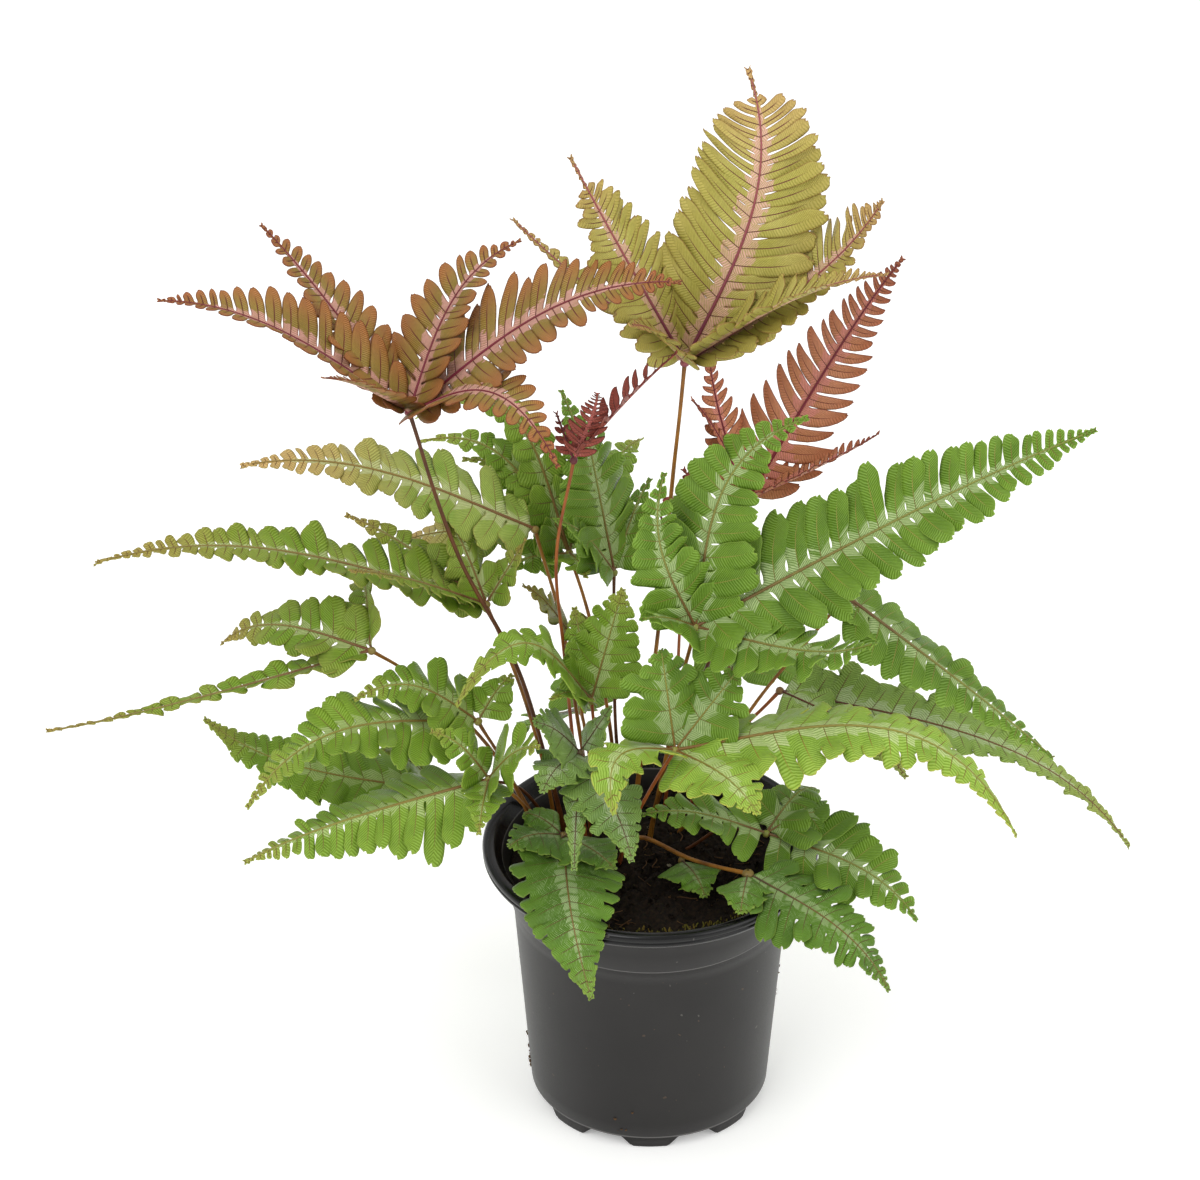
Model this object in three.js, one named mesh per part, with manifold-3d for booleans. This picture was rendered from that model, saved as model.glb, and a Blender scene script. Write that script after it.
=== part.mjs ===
// A candy striped brake fern in its nursery pot. Millimetres, +Z up. The origin lies on the table,
// under the middle of the pot; +X is to the right and +Y to the back of the plant.
import * as THREE from "three";
import { mergeVertices } from "three/addons/utils/BufferGeometryUtils.js";
import Module from "manifold-3d";

const wasm = await Module();
wasm.setup();

// Pot
const POT_HEIGHT = 106;
const RIM_RADIUS = 60;
const RIM_THROAT = 55; // inner edge of the rolled rim
const COLLAR_TOP = [52.6, 99]; // radius, height
const COLLAR_FOOT = [49.9, 83.5];
const WALL_FOOT = [43, 5.5];
const COLLAR_STEP = 0.7;
const WALL = 1.3;
const BASE_THICKNESS = 6.8;
const FOOT_INSET = 1.6;
const POT_SIDES = 28;
const CHANNELS = 8; // drain channels under the base, with a foot between each two
const CHANNEL = { depth: 4.4, top: 11, mouth: 20, inner: 25 };
const DRAIN = { radius: 4, at: 33 };

// Soil
const SOIL_LEVEL = 94;
const SOIL_CROWN = 3; // how much higher the soil stands at the crown
const SOIL_RELIEF = 1.1;
const SOIL_RINGS = [0, 28];
const SOIL_SIDES = 20;
const CLEARANCE = 0.35;

// Fronds
const BLADE = 0.8; // thickness of a pinna
const NECK = { start: 1.7, width: 0.9, end: 7 }; // where a pinna leaves the hub; its lobes start at the end
const KNUCKLE = { radius: 2.5, length: 5, sides: 6 };
const HOLE_DEPTH = 12;
const HOLE_SIDES = 6;
const STIPE_SIDES = 5;
const STIPE_STEP = 32; // length of one straight stretch of a stipe

const COLOURS = {
  green: 0x5e9a3a,
  fresh: 0x86b944,
  dark: 0x3f7a2f,
  bronze: 0xa8643a,
  gold: 0xa6a650,
  red: 0x8e4538,
  brown_stipe: 0x5e3a24,
  golden_stipe: 0xa8792f,
  reddish_stipe: 0xa2573a,
  pot: 0x3c3a3a,
  soil: 0x1e1712,
};

// Each frond: the foliage and stipe colours, where the stipe leaves the soil (x, y), points that it
// passes, its radius, the hub where the pinnae meet, and the pinnae. A pinna runs from the hub to its
// tip. arch and bow lift its middle up and to its left, width is its widest, roll raises its left
// half, fold raises both halves, lobes are counted on each side, and full is how late it tapers.
const FRONDS = [
  {
    name: "bronze", colour: "bronze", stipe: "brown_stipe", radius: 1.2,
    root: [-30, 15], via: [[-46, 12, 168], [-67, 9, 218]], hub: [-83, 5, 279],
    pinnae: [
      { tip: [-166, -5, 328], arch: 8.5, bow: 0, width: 38, roll: -15, fold: 34, lobes: 8, full: 2.1 },
      { tip: [-133, 30, 338], arch: 0, bow: -2, width: 34, roll: 0, fold: 15, lobes: 6, full: 1.9 },
      { tip: [-45, 30, 332], arch: 6, bow: 6, width: 38, roll: 0, fold: 15, lobes: 6, full: 1.9 },
      { tip: [9, -5, 335], arch: 12, bow: 0, width: 48, roll: 22, fold: 13, lobes: 9, full: 2.3 },
      { tip: [-32, -40, 284], arch: 20, bow: 0, width: 38, roll: 8, fold: 10, lobes: 6, full: 2 },
      { tip: [-109, -45, 321], arch: 2, bow: 0, width: 24, roll: 0, fold: 20, lobes: 4, full: 1.4 },
    ],
  },
  {
    name: "gold", colour: "gold", stipe: "golden_stipe", radius: 1.2,
    root: [-6, 26], via: [[4, 21, 200], [8, 20, 250]], hub: [11, 20, 290],
    pinnae: [
      { tip: [32, 50, 387], arch: 0, bow: -14, width: 51, roll: 25, fold: 8, lobes: 7, full: 3.8 },
      { tip: [-28, 20, 369], arch: 0, bow: 2, width: 35, roll: -40, fold: 12, lobes: 6, full: 2.2 },
      { tip: [-48, 60, 324], arch: -2, bow: 0, width: 18, roll: 0, fold: 25, lobes: 4, full: 1.3 },
      { tip: [77, 15, 355], arch: -6, bow: 0, width: 39, roll: 22, fold: 25, lobes: 6, full: 3.2 },
      { tip: [77, -20, 346], arch: 5, bow: 0, width: 32, roll: 5, fold: 30, lobes: 5, full: 1.5 },
      { tip: [-8, -15, 324], arch: 3, bow: 0, width: 20, roll: -20, fold: 15, lobes: 4, full: 1.5 },
    ],
  },
  {
    name: "young_red", colour: "red", stipe: "reddish_stipe", radius: 1,
    root: [-23, 12], via: [[-31, 12, 178], [-33, 5, 220]], hub: [-27, 0, 263],
    pinnae: [
      { tip: [8, -5, 308], arch: 1, bow: 0, width: 18, roll: 10, fold: 40, lobes: 5, full: 2.4 },
      { tip: [-19, -15, 298], arch: 2, bow: 3, width: 15, roll: -30, fold: 10, lobes: 4, full: 2 },
      { tip: [-33, 10, 276], arch: 0, bow: 0, width: 10, roll: 0, fold: 10, lobes: 3, full: 1.5 },
    ],
  },
  {
    name: "red", colour: "red", stipe: "brown_stipe", radius: 1.1,
    root: [2, 35], via: [[24, 42, 165]], hub: [34, 50, 217],
    pinnae: [
      { tip: [86, 45, 317], arch: 0, bow: 8, width: 40, roll: 65, fold: 8, lobes: 8, full: 1.5 },
      { tip: [20, 60, 272], arch: 0, bow: 3, width: 22, roll: -20, fold: 10, lobes: 5, full: 1.8 },
      { tip: [14, 45, 261], arch: 2, bow: 0, width: 13, roll: -20, fold: 10, lobes: 5, full: 1.6 },
      { tip: [79, 35, 253], arch: -1, bow: 0, width: 15, roll: 10, fold: 40, lobes: 5, full: 2 },
    ],
  },
  {
    name: "crozier", colour: "red", stipe: "reddish_stipe", radius: 0.9,
    root: [5, 27], via: [[10, 29, 165]], hub: [12, 30, 229],
    pinnae: [
      { tip: [11, 28, 243], arch: 0, bow: 2, width: 7, roll: 40, fold: 15, lobes: 2, full: 2.4 },
      { tip: [4, 27, 222], arch: 5, bow: 0, width: 6, roll: 0, fold: 15, lobes: 2, full: 2.4 },
    ],
  },
  {
    name: "back_left", colour: "green", stipe: "golden_stipe", radius: 1.1,
    root: [-22, 40], via: [[-30, 44, 160]], hub: [-41, 45, 208],
    pinnae: [
      { tip: [-143, 30, 243], arch: 10, bow: 0, width: 36, roll: -20, fold: 10, lobes: 7, full: 1.8 },
      { tip: [-92, 64, 190], arch: 3, bow: 0, width: 26, roll: -20, fold: 8, lobes: 5, full: 1.6 },
    ],
  },
  {
    name: "back", colour: "green", stipe: "golden_stipe", radius: 1.1,
    root: [-12, 46], via: [[-19, 52, 155]], hub: [-29, 60, 189],
    pinnae: [
      { tip: [-84, 100, 222], arch: 34, bow: 0, width: 20, roll: -30, fold: 8, lobes: 5, full: 1.5 },
      { tip: [-83, 84, 221], arch: 18, bow: 0, width: 25, roll: -30, fold: 8, lobes: 5, full: 1.5 },
      { tip: [-67, 75, 219], arch: 12, bow: 0, width: 26, roll: -30, fold: 8, lobes: 5, full: 1.5 },
      { tip: [-22, 76, 211], arch: 0, bow: 0, width: 18, roll: 0, fold: 8, lobes: 3, full: 1.5 },
      { tip: [-3, 110, 207], arch: 8, bow: 0, width: 30, roll: 0, fold: 8, lobes: 5, full: 1.6 },
      { tip: [-51, 56, 184], arch: 3, bow: 0, width: 18, roll: -40, fold: 8, lobes: 3, full: 1.8 },
      { tip: [-23, 32, 196], arch: 2, bow: 0, width: 20, roll: 0, fold: 8, lobes: 2, full: 2 },
    ],
  },
  {
    name: "middle", colour: "green", stipe: "brown_stipe", radius: 1,
    root: [-10, 36], via: [[-13, 40, 150]], hub: [-13, 45, 190],
    pinnae: [
      { tip: [-24, 50, 253], arch: 0, bow: 0, width: 42, roll: -20, fold: 8, lobes: 5, full: 1.8 },
      { tip: [-34, 30, 221], arch: 3, bow: 0, width: 22, roll: -30, fold: 8, lobes: 4, full: 1.5 },
      { tip: [0, 70, 214], arch: 3, bow: 0, width: 22, roll: 0, fold: 8, lobes: 4, full: 1.5 },
      { tip: [-32, 95, 236], arch: 6, bow: 0, width: 28, roll: 0, fold: 8, lobes: 5, full: 1.6 },
    ],
  },
  {
    name: "left", colour: "green", stipe: "golden_stipe", radius: 1.1,
    root: [-34, 26], via: [[-44, 25, 148]], hub: [-58, 22, 191],
    pinnae: [
      { tip: [-191, -10, 228], arch: 13, bow: 0, width: 28, roll: -15, fold: 20, lobes: 8, full: 1.9 },
      { tip: [-108, 50, 211], arch: 3, bow: 0, width: 20, roll: -25, fold: 10, lobes: 6, full: 1.5 },
      { tip: [-103, -25, 234], arch: 2, bow: 0, width: 12, roll: -20, fold: 12, lobes: 4, full: 1.5 },
      { tip: [-74, 35, 224], arch: 2, bow: 0, width: 24, roll: -10, fold: 10, lobes: 4, full: 1.5 },
      { tip: [-44, 30, 213], arch: 0, bow: 0, width: 18, roll: 0, fold: 10, lobes: 3, full: 1.5 },
    ],
  },
  {
    name: "far_left", colour: "green", stipe: "golden_stipe", radius: 1.1,
    root: [-38, 19], via: [[-61, 23, 135], [-86, 15, 167]], hub: [-98, 6, 182],
    pinnae: [
      { tip: [-211, -15, 162], arch: -2, bow: 0, width: 17, roll: -3, fold: 28, lobes: 7, full: 0.9 },
      { tip: [-152, 25, 173], arch: 9, bow: 0, width: 33, roll: -25, fold: 10, lobes: 6, full: 1.4 },
      { tip: [-102, 45, 187], arch: 8, bow: 0, width: 26, roll: -45, fold: 45, lobes: 5, full: 1.6 },
    ],
  },
  {
    name: "low_left", colour: "green", stipe: "golden_stipe", radius: 1.1,
    root: [-37, 10], via: [[-52, 8, 132]], hub: [-61, 5, 153],
    pinnae: [
      { tip: [-141, -30, 140], arch: 18, bow: 0, width: 42, roll: -15, fold: 10, lobes: 6, full: 1.7 },
      { tip: [-104, -4, 168], arch: 10, bow: 0, width: 32, roll: -28, fold: 8, lobes: 5, full: 1.7 },
      { tip: [-49, 20, 163], arch: 2, bow: 0, width: 20, roll: 0, fold: 8, lobes: 3, full: 1.8 },
    ],
  },
  {
    name: "light_left", colour: "fresh", stipe: "reddish_stipe", radius: 1,
    root: [-16, 19], via: [[-18, 9, 130]], hub: [-21, 0, 165],
    pinnae: [
      { tip: [-68, -20, 176], arch: 25, bow: 0, width: 30, roll: -15, fold: 6, lobes: 5, full: 1.5 },
      { tip: [-10, 10, 205], arch: 0, bow: 0, width: 31, roll: 20, fold: 8, lobes: 4, full: 2.1 },
      { tip: [-27, 17, 193], arch: 0, bow: 0, width: 20, roll: 0, fold: 8, lobes: 3, full: 2 },
      { tip: [-35, -15, 175], arch: 3, bow: 0, width: 16, roll: 0, fold: 8, lobes: 3, full: 1.7 },
    ],
  },
  {
    name: "olive_middle", colour: "gold", stipe: "golden_stipe", radius: 0.9,
    root: [-19, 27], via: [[-23, 27, 130]], hub: [-28, 25, 175],
    pinnae: [
      { tip: [-45, 25, 197], arch: 2, bow: 0, width: 22, roll: 0, fold: 8, lobes: 4, full: 1.8 },
      { tip: [-19, 31, 176], arch: 3, bow: 0, width: 16, roll: 0, fold: 8, lobes: 3, full: 1.8 },
    ],
  },
  {
    name: "rim_left", colour: "green", stipe: "golden_stipe", radius: 1.1,
    root: [-31, 3], via: [[-47, -6, 127]], hub: [-57, -15, 142],
    pinnae: [
      { tip: [-142, -40, 124], arch: 3, bow: 0, width: 42, roll: -22, fold: -20, lobes: 6, full: 1.35 },
      { tip: [-77, -15, 162], arch: 3, bow: 0, width: 22, roll: -30, fold: 8, lobes: 3, full: 1.7 },
      { tip: [-39, -28, 164], arch: 3, bow: 0, width: 34, roll: 30, fold: 8, lobes: 3, full: 1.7 },
      { tip: [-60, -45, 139], arch: 3, bow: 0, width: 18, roll: 0, fold: 8, lobes: 3, full: 1.7 },
    ],
  },
  {
    name: "low_back_left", colour: "dark", stipe: "brown_stipe", radius: 1,
    root: [-38, 30], via: [[-50, 25, 113]], hub: [-75, 15, 117],
    pinnae: [
      { tip: [-158, 10, 151], arch: -8, bow: 0, width: 40, roll: -25, fold: 8, lobes: 6, full: 1.5 },
      { tip: [-94, 0, 144], arch: 2, bow: 0, width: 28, roll: -15, fold: 8, lobes: 4, full: 1.8 },
    ],
  },
  {
    name: "big_right", colour: "green", stipe: "golden_stipe", radius: 1.3,
    root: [0, 15], via: [[7, 4, 150]], hub: [15, -10, 202],
    pinnae: [
      { tip: [151, 0, 275], arch: 3, bow: 0, width: 50, roll: 40, fold: 20, lobes: 10, full: 2.4 },
      { tip: [53, 5, 277], arch: 12, bow: 8, width: 42, roll: 45, fold: 6, lobes: 6, full: 1.8 },
      { tip: [4, 0, 258], arch: 0, bow: 9, width: 31, roll: -35, fold: 8, lobes: 5, full: 1.7 },
      { tip: [76, -50, 221], arch: -6, bow: 0, width: 36, roll: 15, fold: 5, lobes: 5, full: 1.7 },
      { tip: [-4, -25, 214], arch: 2, bow: 0, width: 28, roll: 0, fold: 5, lobes: 3, full: 1.8 },
    ],
  },
  {
    name: "far_right", colour: "dark", stipe: "reddish_stipe", radius: 1.1,
    root: [12, 29], via: [[28, 28, 128]], hub: [46, 25, 153],
    pinnae: [
      { tip: [173, 20, 89], arch: 17, bow: 0, width: 38, roll: 20, fold: 25, lobes: 9, full: 1.1 },
      { tip: [90, -5, 136], arch: 6, bow: 0, width: 24, roll: 10, fold: 6, lobes: 4, full: 1.6 },
    ],
  },
  {
    name: "right", colour: "green", stipe: "golden_stipe", radius: 1,
    root: [11, 20], via: [[36, 18, 150]], hub: [68, 15, 199],
    pinnae: [
      { tip: [142, 0, 141], arch: 1, bow: 0, width: 32, roll: 14, fold: -8, lobes: 7, full: 1.5 },
      { tip: [84, 8, 176], arch: 2, bow: 0, width: 14, roll: 0, fold: 6, lobes: 3, full: 1.6 },
    ],
  },
  {
    name: "bright_front", colour: "fresh", stipe: "reddish_stipe", radius: 1.1,
    root: [-11, -1], via: [[-5, -16, 128]], hub: [8, -30, 164],
    pinnae: [
      { tip: [126, -50, 142], arch: 31, bow: 0, width: 38, roll: 16, fold: -10, lobes: 8, full: 1.6 },
      { tip: [3, -20, 199], arch: 0, bow: 0, width: 42, roll: 0, fold: 8, lobes: 4, full: 1.9 },
      { tip: [30, -20, 191], arch: 0, bow: 0, width: 38, roll: 30, fold: 8, lobes: 4, full: 1.9 },
      { tip: [36, -65, 161], arch: 5, bow: 0, width: 38, roll: 10, fold: 4, lobes: 4, full: 2.2 },
      { tip: [-13, -65, 161], arch: 11, bow: -8, width: 32, roll: 0, fold: 4, lobes: 4, full: 2.2 },
    ],
  },
  {
    name: "grey_front", colour: "dark", stipe: "brown_stipe", radius: 1,
    root: [-21, 2], via: [[-23, -7, 128]], hub: [-25, -15, 153],
    pinnae: [
      { tip: [-7, -50, 131], arch: 6, bow: 0, width: 33, roll: 0, fold: 6, lobes: 5, full: 1.8 },
      { tip: [-38, -40, 153], arch: 4, bow: 0, width: 28, roll: 0, fold: 6, lobes: 3, full: 1.8 },
      { tip: [-41, -20, 169], arch: 2, bow: 0, width: 32, roll: -15, fold: 6, lobes: 3, full: 1.8 },
      { tip: [-14, -10, 169], arch: 0, bow: 0, width: 17, roll: 0, fold: 6, lobes: 3, full: 1.8 },
      { tip: [-27, -45, 124], arch: 4, bow: 0, width: 12, roll: 0, fold: 6, lobes: 4, full: 1.8 },
    ],
  },
  {
    name: "over_rim", colour: "dark", stipe: "brown_stipe", radius: 1,
    root: [-26, -6], via: [[-29, -10, 108]], hub: [-31, -15, 118],
    pinnae: [
      { tip: [-21, -66, 84], arch: 18, bow: -5, width: 42, roll: 0, fold: 4, lobes: 6, full: 2 },
      { tip: [-50, -28, 122], arch: 3, bow: 0, width: 28, roll: 0, fold: 4, lobes: 3, full: 1.9 },
      { tip: [-13, -40, 121], arch: 2, bow: 0, width: 26, roll: 0, fold: 4, lobes: 3, full: 1.9 },
      { tip: [-45, -10, 124], arch: 2, bow: 0, width: 18, roll: -10, fold: 4, lobes: 3, full: 1.9 },
    ],
  },
  {
    name: "low_right", colour: "dark", stipe: "golden_stipe", radius: 1.5,
    root: [-8, 9], via: [[-4, 4, 104], [13, -12, 106]], hub: [34, -30, 112],
    pinnae: [
      { tip: [83, -60, 83], arch: 8, bow: 0, width: 43, roll: 5, fold: 6, lobes: 6, full: 1.6 },
      { tip: [31, -50, 109], arch: 2, bow: 0, width: 22, roll: 0, fold: 4, lobes: 3, full: 1.9 },
    ],
  },
  {
    name: "mottled_right", colour: "green", stipe: "brown_stipe", radius: 1,
    root: [14, 9], via: [[26, 4, 108]], hub: [41, -5, 112],
    pinnae: [
      { tip: [94, -30, 92], arch: 8, bow: 0, width: 45, roll: 12, fold: 4, lobes: 6, full: 1.7 },
      { tip: [66, 5, 110], arch: 6, bow: 0, width: 34, roll: 10, fold: 4, lobes: 4, full: 1.8 },
      { tip: [60, 20, 114], arch: 6, bow: 0, width: 28, roll: 0, fold: 4, lobes: 4, full: 1.8 },
      { tip: [-3, -15, 127], arch: 4, bow: 0, width: 32, roll: -10, fold: 4, lobes: 5, full: 1.9 },
    ],
  },
  {
    name: "small_front", colour: "dark", stipe: "brown_stipe", radius: 0.9,
    root: [9, -4], via: [[10, -5, 98]], hub: [11, -6, 101],
    pinnae: [
      { tip: [19, -30, 102], arch: 3, bow: 0, width: 24, roll: 0, fold: 4, lobes: 3, full: 2 },
    ],
  },
  {
    name: "low_back", colour: "green", stipe: "golden_stipe", radius: 1,
    root: [-16, 40], via: [[-22, 56, 112]], hub: [-25, 70, 115],
    pinnae: [
      { tip: [-50, 122, 72], arch: 2, bow: 0, width: 26, roll: 0, fold: 5, lobes: 4, full: 1.7 },
      { tip: [-14, 132, 94], arch: 12, bow: 0, width: 30, roll: 0, fold: 5, lobes: 3, full: 1.7 },
    ],
  },
  {
    name: "low_back_right", colour: "green", stipe: "golden_stipe", radius: 1,
    root: [10, 43], via: [[18, 58, 112]], hub: [30, 75, 128],
    pinnae: [
      { tip: [44, 142, 104], arch: 14, bow: 0, width: 32, roll: 0, fold: 5, lobes: 5, full: 1.7 },
      { tip: [74, 98, 108], arch: 12, bow: 0, width: 30, roll: 0, fold: 5, lobes: 4, full: 1.6 },
      { tip: [14, 104, 146], arch: 5, bow: 0, width: 22, roll: 0, fold: 5, lobes: 3, full: 1.7 },
    ],
  },
];

const UP = new THREE.Vector3(0, 0, 1);
const vector = (point) => new THREE.Vector3(...point);
const radians = THREE.MathUtils.degToRad;

// Solids and geometries

function solid(geometry) {
  const bare = geometry.index ? geometry : geometry.clone();
  for (const name of ["normal", "uv"]) bare.deleteAttribute(name);
  const merged = mergeVertices(bare, 1e-3);
  return new wasm.Manifold(
    new wasm.Mesh({
      numProp: 3,
      vertProperties: merged.attributes.position.array,
      triVerts: new Uint32Array(merged.index.array),
    }),
  );
}

function geometryOf(body) {
  const mesh = body.getMesh();
  return new THREE.BufferGeometry()
    .setAttribute("position", new THREE.BufferAttribute(mesh.vertProperties, 3))
    .setIndex(new THREE.BufferAttribute(mesh.triVerts, 1));
}

// A prism with its axis from one point to another.
function prism(from, to, radius, sides) {
  const along = to.clone().sub(from);
  const turn = new THREE.Quaternion().setFromUnitVectors(
    new THREE.Vector3(0, 1, 0),
    along.clone().normalize(),
  );
  const middle = from.clone().add(to).multiplyScalar(0.5);
  return new THREE.CylinderGeometry(radius, radius, along.length(), sides, 1)
    .applyQuaternion(turn)
    .translate(middle.x, middle.y, middle.z);
}

// Pinnae

// The rib: the straight line from hub to tip, lifted along its up and left by two humps, one in the
// middle and one at two thirds.
function rib(hub, pinna) {
  const chord = vector(pinna.tip).sub(hub);
  const left = UP.clone().cross(chord).normalize();
  const lift = chord.clone().normalize().cross(left);
  const humps = (t) => 2 * t * (1 - t) + 3.375 * t * t * (1 - t);
  const point = (t) =>
    hub
      .clone()
      .addScaledVector(chord, t)
      .addScaledVector(lift, pinna.arch * humps(t))
      .addScaledVector(left, pinna.bow * humps(t));
  const frame = (t) => {
    const step = 0.01;
    const tangent = point(t + step).sub(point(t - step)).normalize();
    const level = left.clone().addScaledVector(tangent, -left.dot(tangent)).normalize();
    const side = level.applyAxisAngle(tangent, radians(pinna.roll));
    return { at: point(t), tangent, side, normal: tangent.clone().cross(side) };
  };
  return { frame, length: chord.length() };
}

// Half width along a pinna: it swells within the first fifth and tapers to the tip.
function halfWidth(pinna, t) {
  const swell = t < 0.2 ? 1 - 0.5 * (1 - t / 0.2) ** 2 : 1;
  return Math.max(0.5 * pinna.width * swell * (1 - t ** pinna.full), 1.2);
}

const LOBE = { start: 0.1, end: 0.8, sinus: 0.42, slant: 0.3, droop: 0.1, crowding: 1.2, square: 18 };

// A pinna as a plate: on each side of the rib its outline runs from sinus to sinus round the end of
// each lobe, square on a wide pinna and pointed on a narrow one. Both faces have the same triangles,
// and a wall joins them.
function pinnaSolid(hub, pinna) {
  const { frame, length } = rib(hub, pinna);
  const root = NECK.start / length;
  const first = NECK.end / length;
  const station = (k) => first + (1 - first) * (1 - (1 - k / pinna.lobes) ** LOBE.crowding);
  const points = [];
  const place = (t, across, hand, forward) => {
    const { at, tangent, side, normal } = frame(t);
    const fold = radians(pinna.fold);
    const drop = LOBE.droop * Math.max(across - 3, 0);
    points.push({
      at: at
        .addScaledVector(side, hand * across * Math.cos(fold))
        .addScaledVector(normal, across * Math.sin(fold) - drop)
        .addScaledVector(tangent, forward),
      normal,
    });
    return points.length - 1;
  };
  const count = pinna.lobes;
  const spine = [place(root, 0, 1, 0)];
  for (let k = 0; k <= count; k++) spine.push(place(station(k), 0, 1, 0));
  const tip = spine[count + 1];
  const top = [];
  const edges = {};
  for (const hand of [-1, 1]) {
    const face = (a, b, c) => top.push(hand > 0 ? [a, b, c] : [a, c, b]);
    let sinus = place(root, NECK.width, hand, 0);
    const edge = [sinus];
    const grow = (next, k) => {
      face(spine[k], spine[k + 1], sinus);
      if (next !== spine[k + 1]) face(sinus, spine[k + 1], next);
    };
    const neck = place(first, NECK.width, hand, 0);
    grow(neck, 0);
    sinus = neck;
    edge.push(neck);
    for (let k = 0; k < count; k++) {
      const t0 = station(k);
      const t1 = station(k + 1);
      const along = (part) => t0 + part * (t1 - t0);
      const reach = halfWidth(pinna, along(0.5));
      const forward = LOBE.slant * reach;
      const last = k === count - 1;
      const width = Math.max(LOBE.sinus * halfWidth(pinna, t1), 1.1);
      const next = last ? tip : place(t1, width, hand, 0);
      grow(next, k + 1);
      if (reach > LOBE.square) {
        const corner = place(along(LOBE.start), reach * 0.92, hand, forward);
        const end = place(along(LOBE.end), reach, hand, forward);
        face(sinus, next, end);
        face(sinus, end, corner);
        edge.push(corner, end);
      } else {
        const end = place(along(0.5), reach, hand, forward);
        face(sinus, next, end);
        edge.push(end);
      }
      if (!last) edge.push(next);
      sinus = next;
    }
    edges[hand] = edge;
  }
  const loop = [spine[0], ...edges[-1], tip, ...edges[1].reverse()];
  return plate(points, top, loop);
}

// A thin solid: the faces at half its thickness above and below the points, and a wall on the loop.
function plate(points, top, loop) {
  const count = points.length;
  const position = [];
  for (const hand of [1, -1])
    for (const { at, normal } of points)
      position.push(...at.clone().addScaledVector(normal, (hand * BLADE) / 2).toArray());
  const index = [];
  for (const [a, b, c] of top) index.push(a, b, c, a + count, c + count, b + count);
  loop.forEach((a, i) => {
    const b = loop[(i + 1) % loop.length];
    index.push(b, a, a + count, b, a + count, b + count);
  });
  const geometry = new THREE.BufferGeometry()
    .setAttribute("position", new THREE.Float32BufferAttribute(position, 3))
    .setIndex(index);
  return solid(geometry);
}

// Stipes

// The stipe's path: up from the foot of its hole, through the points it passes, to just under the
// knuckle at the hub. Its first straight stretch stands in the hole.
function stipePath(frond) {
  const hub = vector(frond.hub);
  const soil = vector([...frond.root, soilHeight(...frond.root)]);
  const points = [soil, ...frond.via.map(vector), hub];
  const rise = points[1].clone().sub(soil).normalize();
  const foot = soil.clone().addScaledVector(rise, -HOLE_DEPTH / rise.z);
  const last = points.at(-2);
  const end = hub.clone().sub(last).normalize();
  points[points.length - 1] = hub.clone().addScaledVector(end, -KNUCKLE.length / 2 - 0.3);
  return { curve: new THREE.CatmullRomCurve3([foot, ...points], false, "centripetal"), end };
}

function polygon(radius, sides) {
  const shape = new THREE.Shape();
  for (let k = 0; k < sides; k++) {
    const angle = (2 * Math.PI * k) / sides;
    const method = k ? "lineTo" : "moveTo";
    shape[method](radius * Math.cos(angle), radius * Math.sin(angle));
  }
  return shape;
}

function stipeSteps(curve) {
  return Math.max(3, Math.round(curve.getLength() / STIPE_STEP));
}

function stipe(frond) {
  const { curve } = stipePath(frond);
  return new THREE.ExtrudeGeometry(polygon(frond.radius, STIPE_SIDES), {
    steps: stipeSteps(curve),
    extrudePath: curve,
    bevelEnabled: false,
  });
}

// The blade of a frond: all its pinnae joined at the knuckle on top of the stipe.
function blade(frond) {
  const hub = vector(frond.hub);
  const { end } = stipePath(frond);
  const half = end.clone().multiplyScalar(KNUCKLE.length / 2);
  const knuckle = prism(
    hub.clone().sub(half),
    hub.clone().add(half),
    KNUCKLE.radius,
    KNUCKLE.sides,
  );
  let body = solid(knuckle);
  for (const pinna of frond.pinnae) body = body.add(pinnaSolid(hub, pinna));
  return geometryOf(body);
}

// Soil

// The soil's surface: level at the wall, a little higher at the crown, with low lumps.
function soilHeight(x, y) {
  const reach = Math.hypot(x, y) / RIM_THROAT;
  const lumps = Math.sin(0.31 * x + 1) * Math.sin(0.37 * y) + 0.6 * Math.sin(0.9 * x - 0.7 * y);
  return SOIL_LEVEL + SOIL_CROWN * (1 - reach * reach) + SOIL_RELIEF * lumps * (1 - reach);
}

// Radius of the pot's inner wall at a height.
function innerRadius(z) {
  const [foot, low] = WALL_FOOT;
  const [top, high] = COLLAR_TOP;
  return foot + ((top - foot) * (z - low)) / (high - low) - WALL - 0.6;
}

function soil() {
  const bottom = BASE_THICKNESS + CLEARANCE;
  const facet = Math.cos(Math.PI / POT_SIDES); // the pot's flat sides come inside its round wall
  const profile = [
    [0, bottom],
    [facet * innerRadius(bottom) - CLEARANCE, bottom],
    [facet * innerRadius(SOIL_LEVEL) - CLEARANCE, SOIL_LEVEL],
    ...SOIL_RINGS.toReversed().map((radius) => [radius, SOIL_LEVEL + 1]),
  ].map(([r, z]) => new THREE.Vector2(r, z));
  const geometry = new THREE.LatheGeometry(profile, SOIL_SIDES).rotateX(Math.PI / 2);
  const place = geometry.attributes.position;
  for (let i = 0; i < place.count; i++)
    if (place.getZ(i) > SOIL_LEVEL + 0.5)
      place.setZ(i, soilHeight(place.getX(i), place.getY(i)));
  let body = solid(geometry);
  for (const frond of FRONDS) body = body.subtract(solid(stipeHole(frond)));
  return geometryOf(body);
}

function stipeHole(frond) {
  const { curve } = stipePath(frond);
  const foot = curve.getPointAt(0);
  const rise = curve.getPointAt(1 / stipeSteps(curve)).sub(foot).normalize();
  const low = foot.clone().addScaledVector(rise, -CLEARANCE);
  const high = foot.clone().addScaledVector(rise, HOLE_DEPTH * 2.5);
  return prism(low, high, frond.radius + CLEARANCE + 0.15, HOLE_SIDES);
}

// Pot

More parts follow.
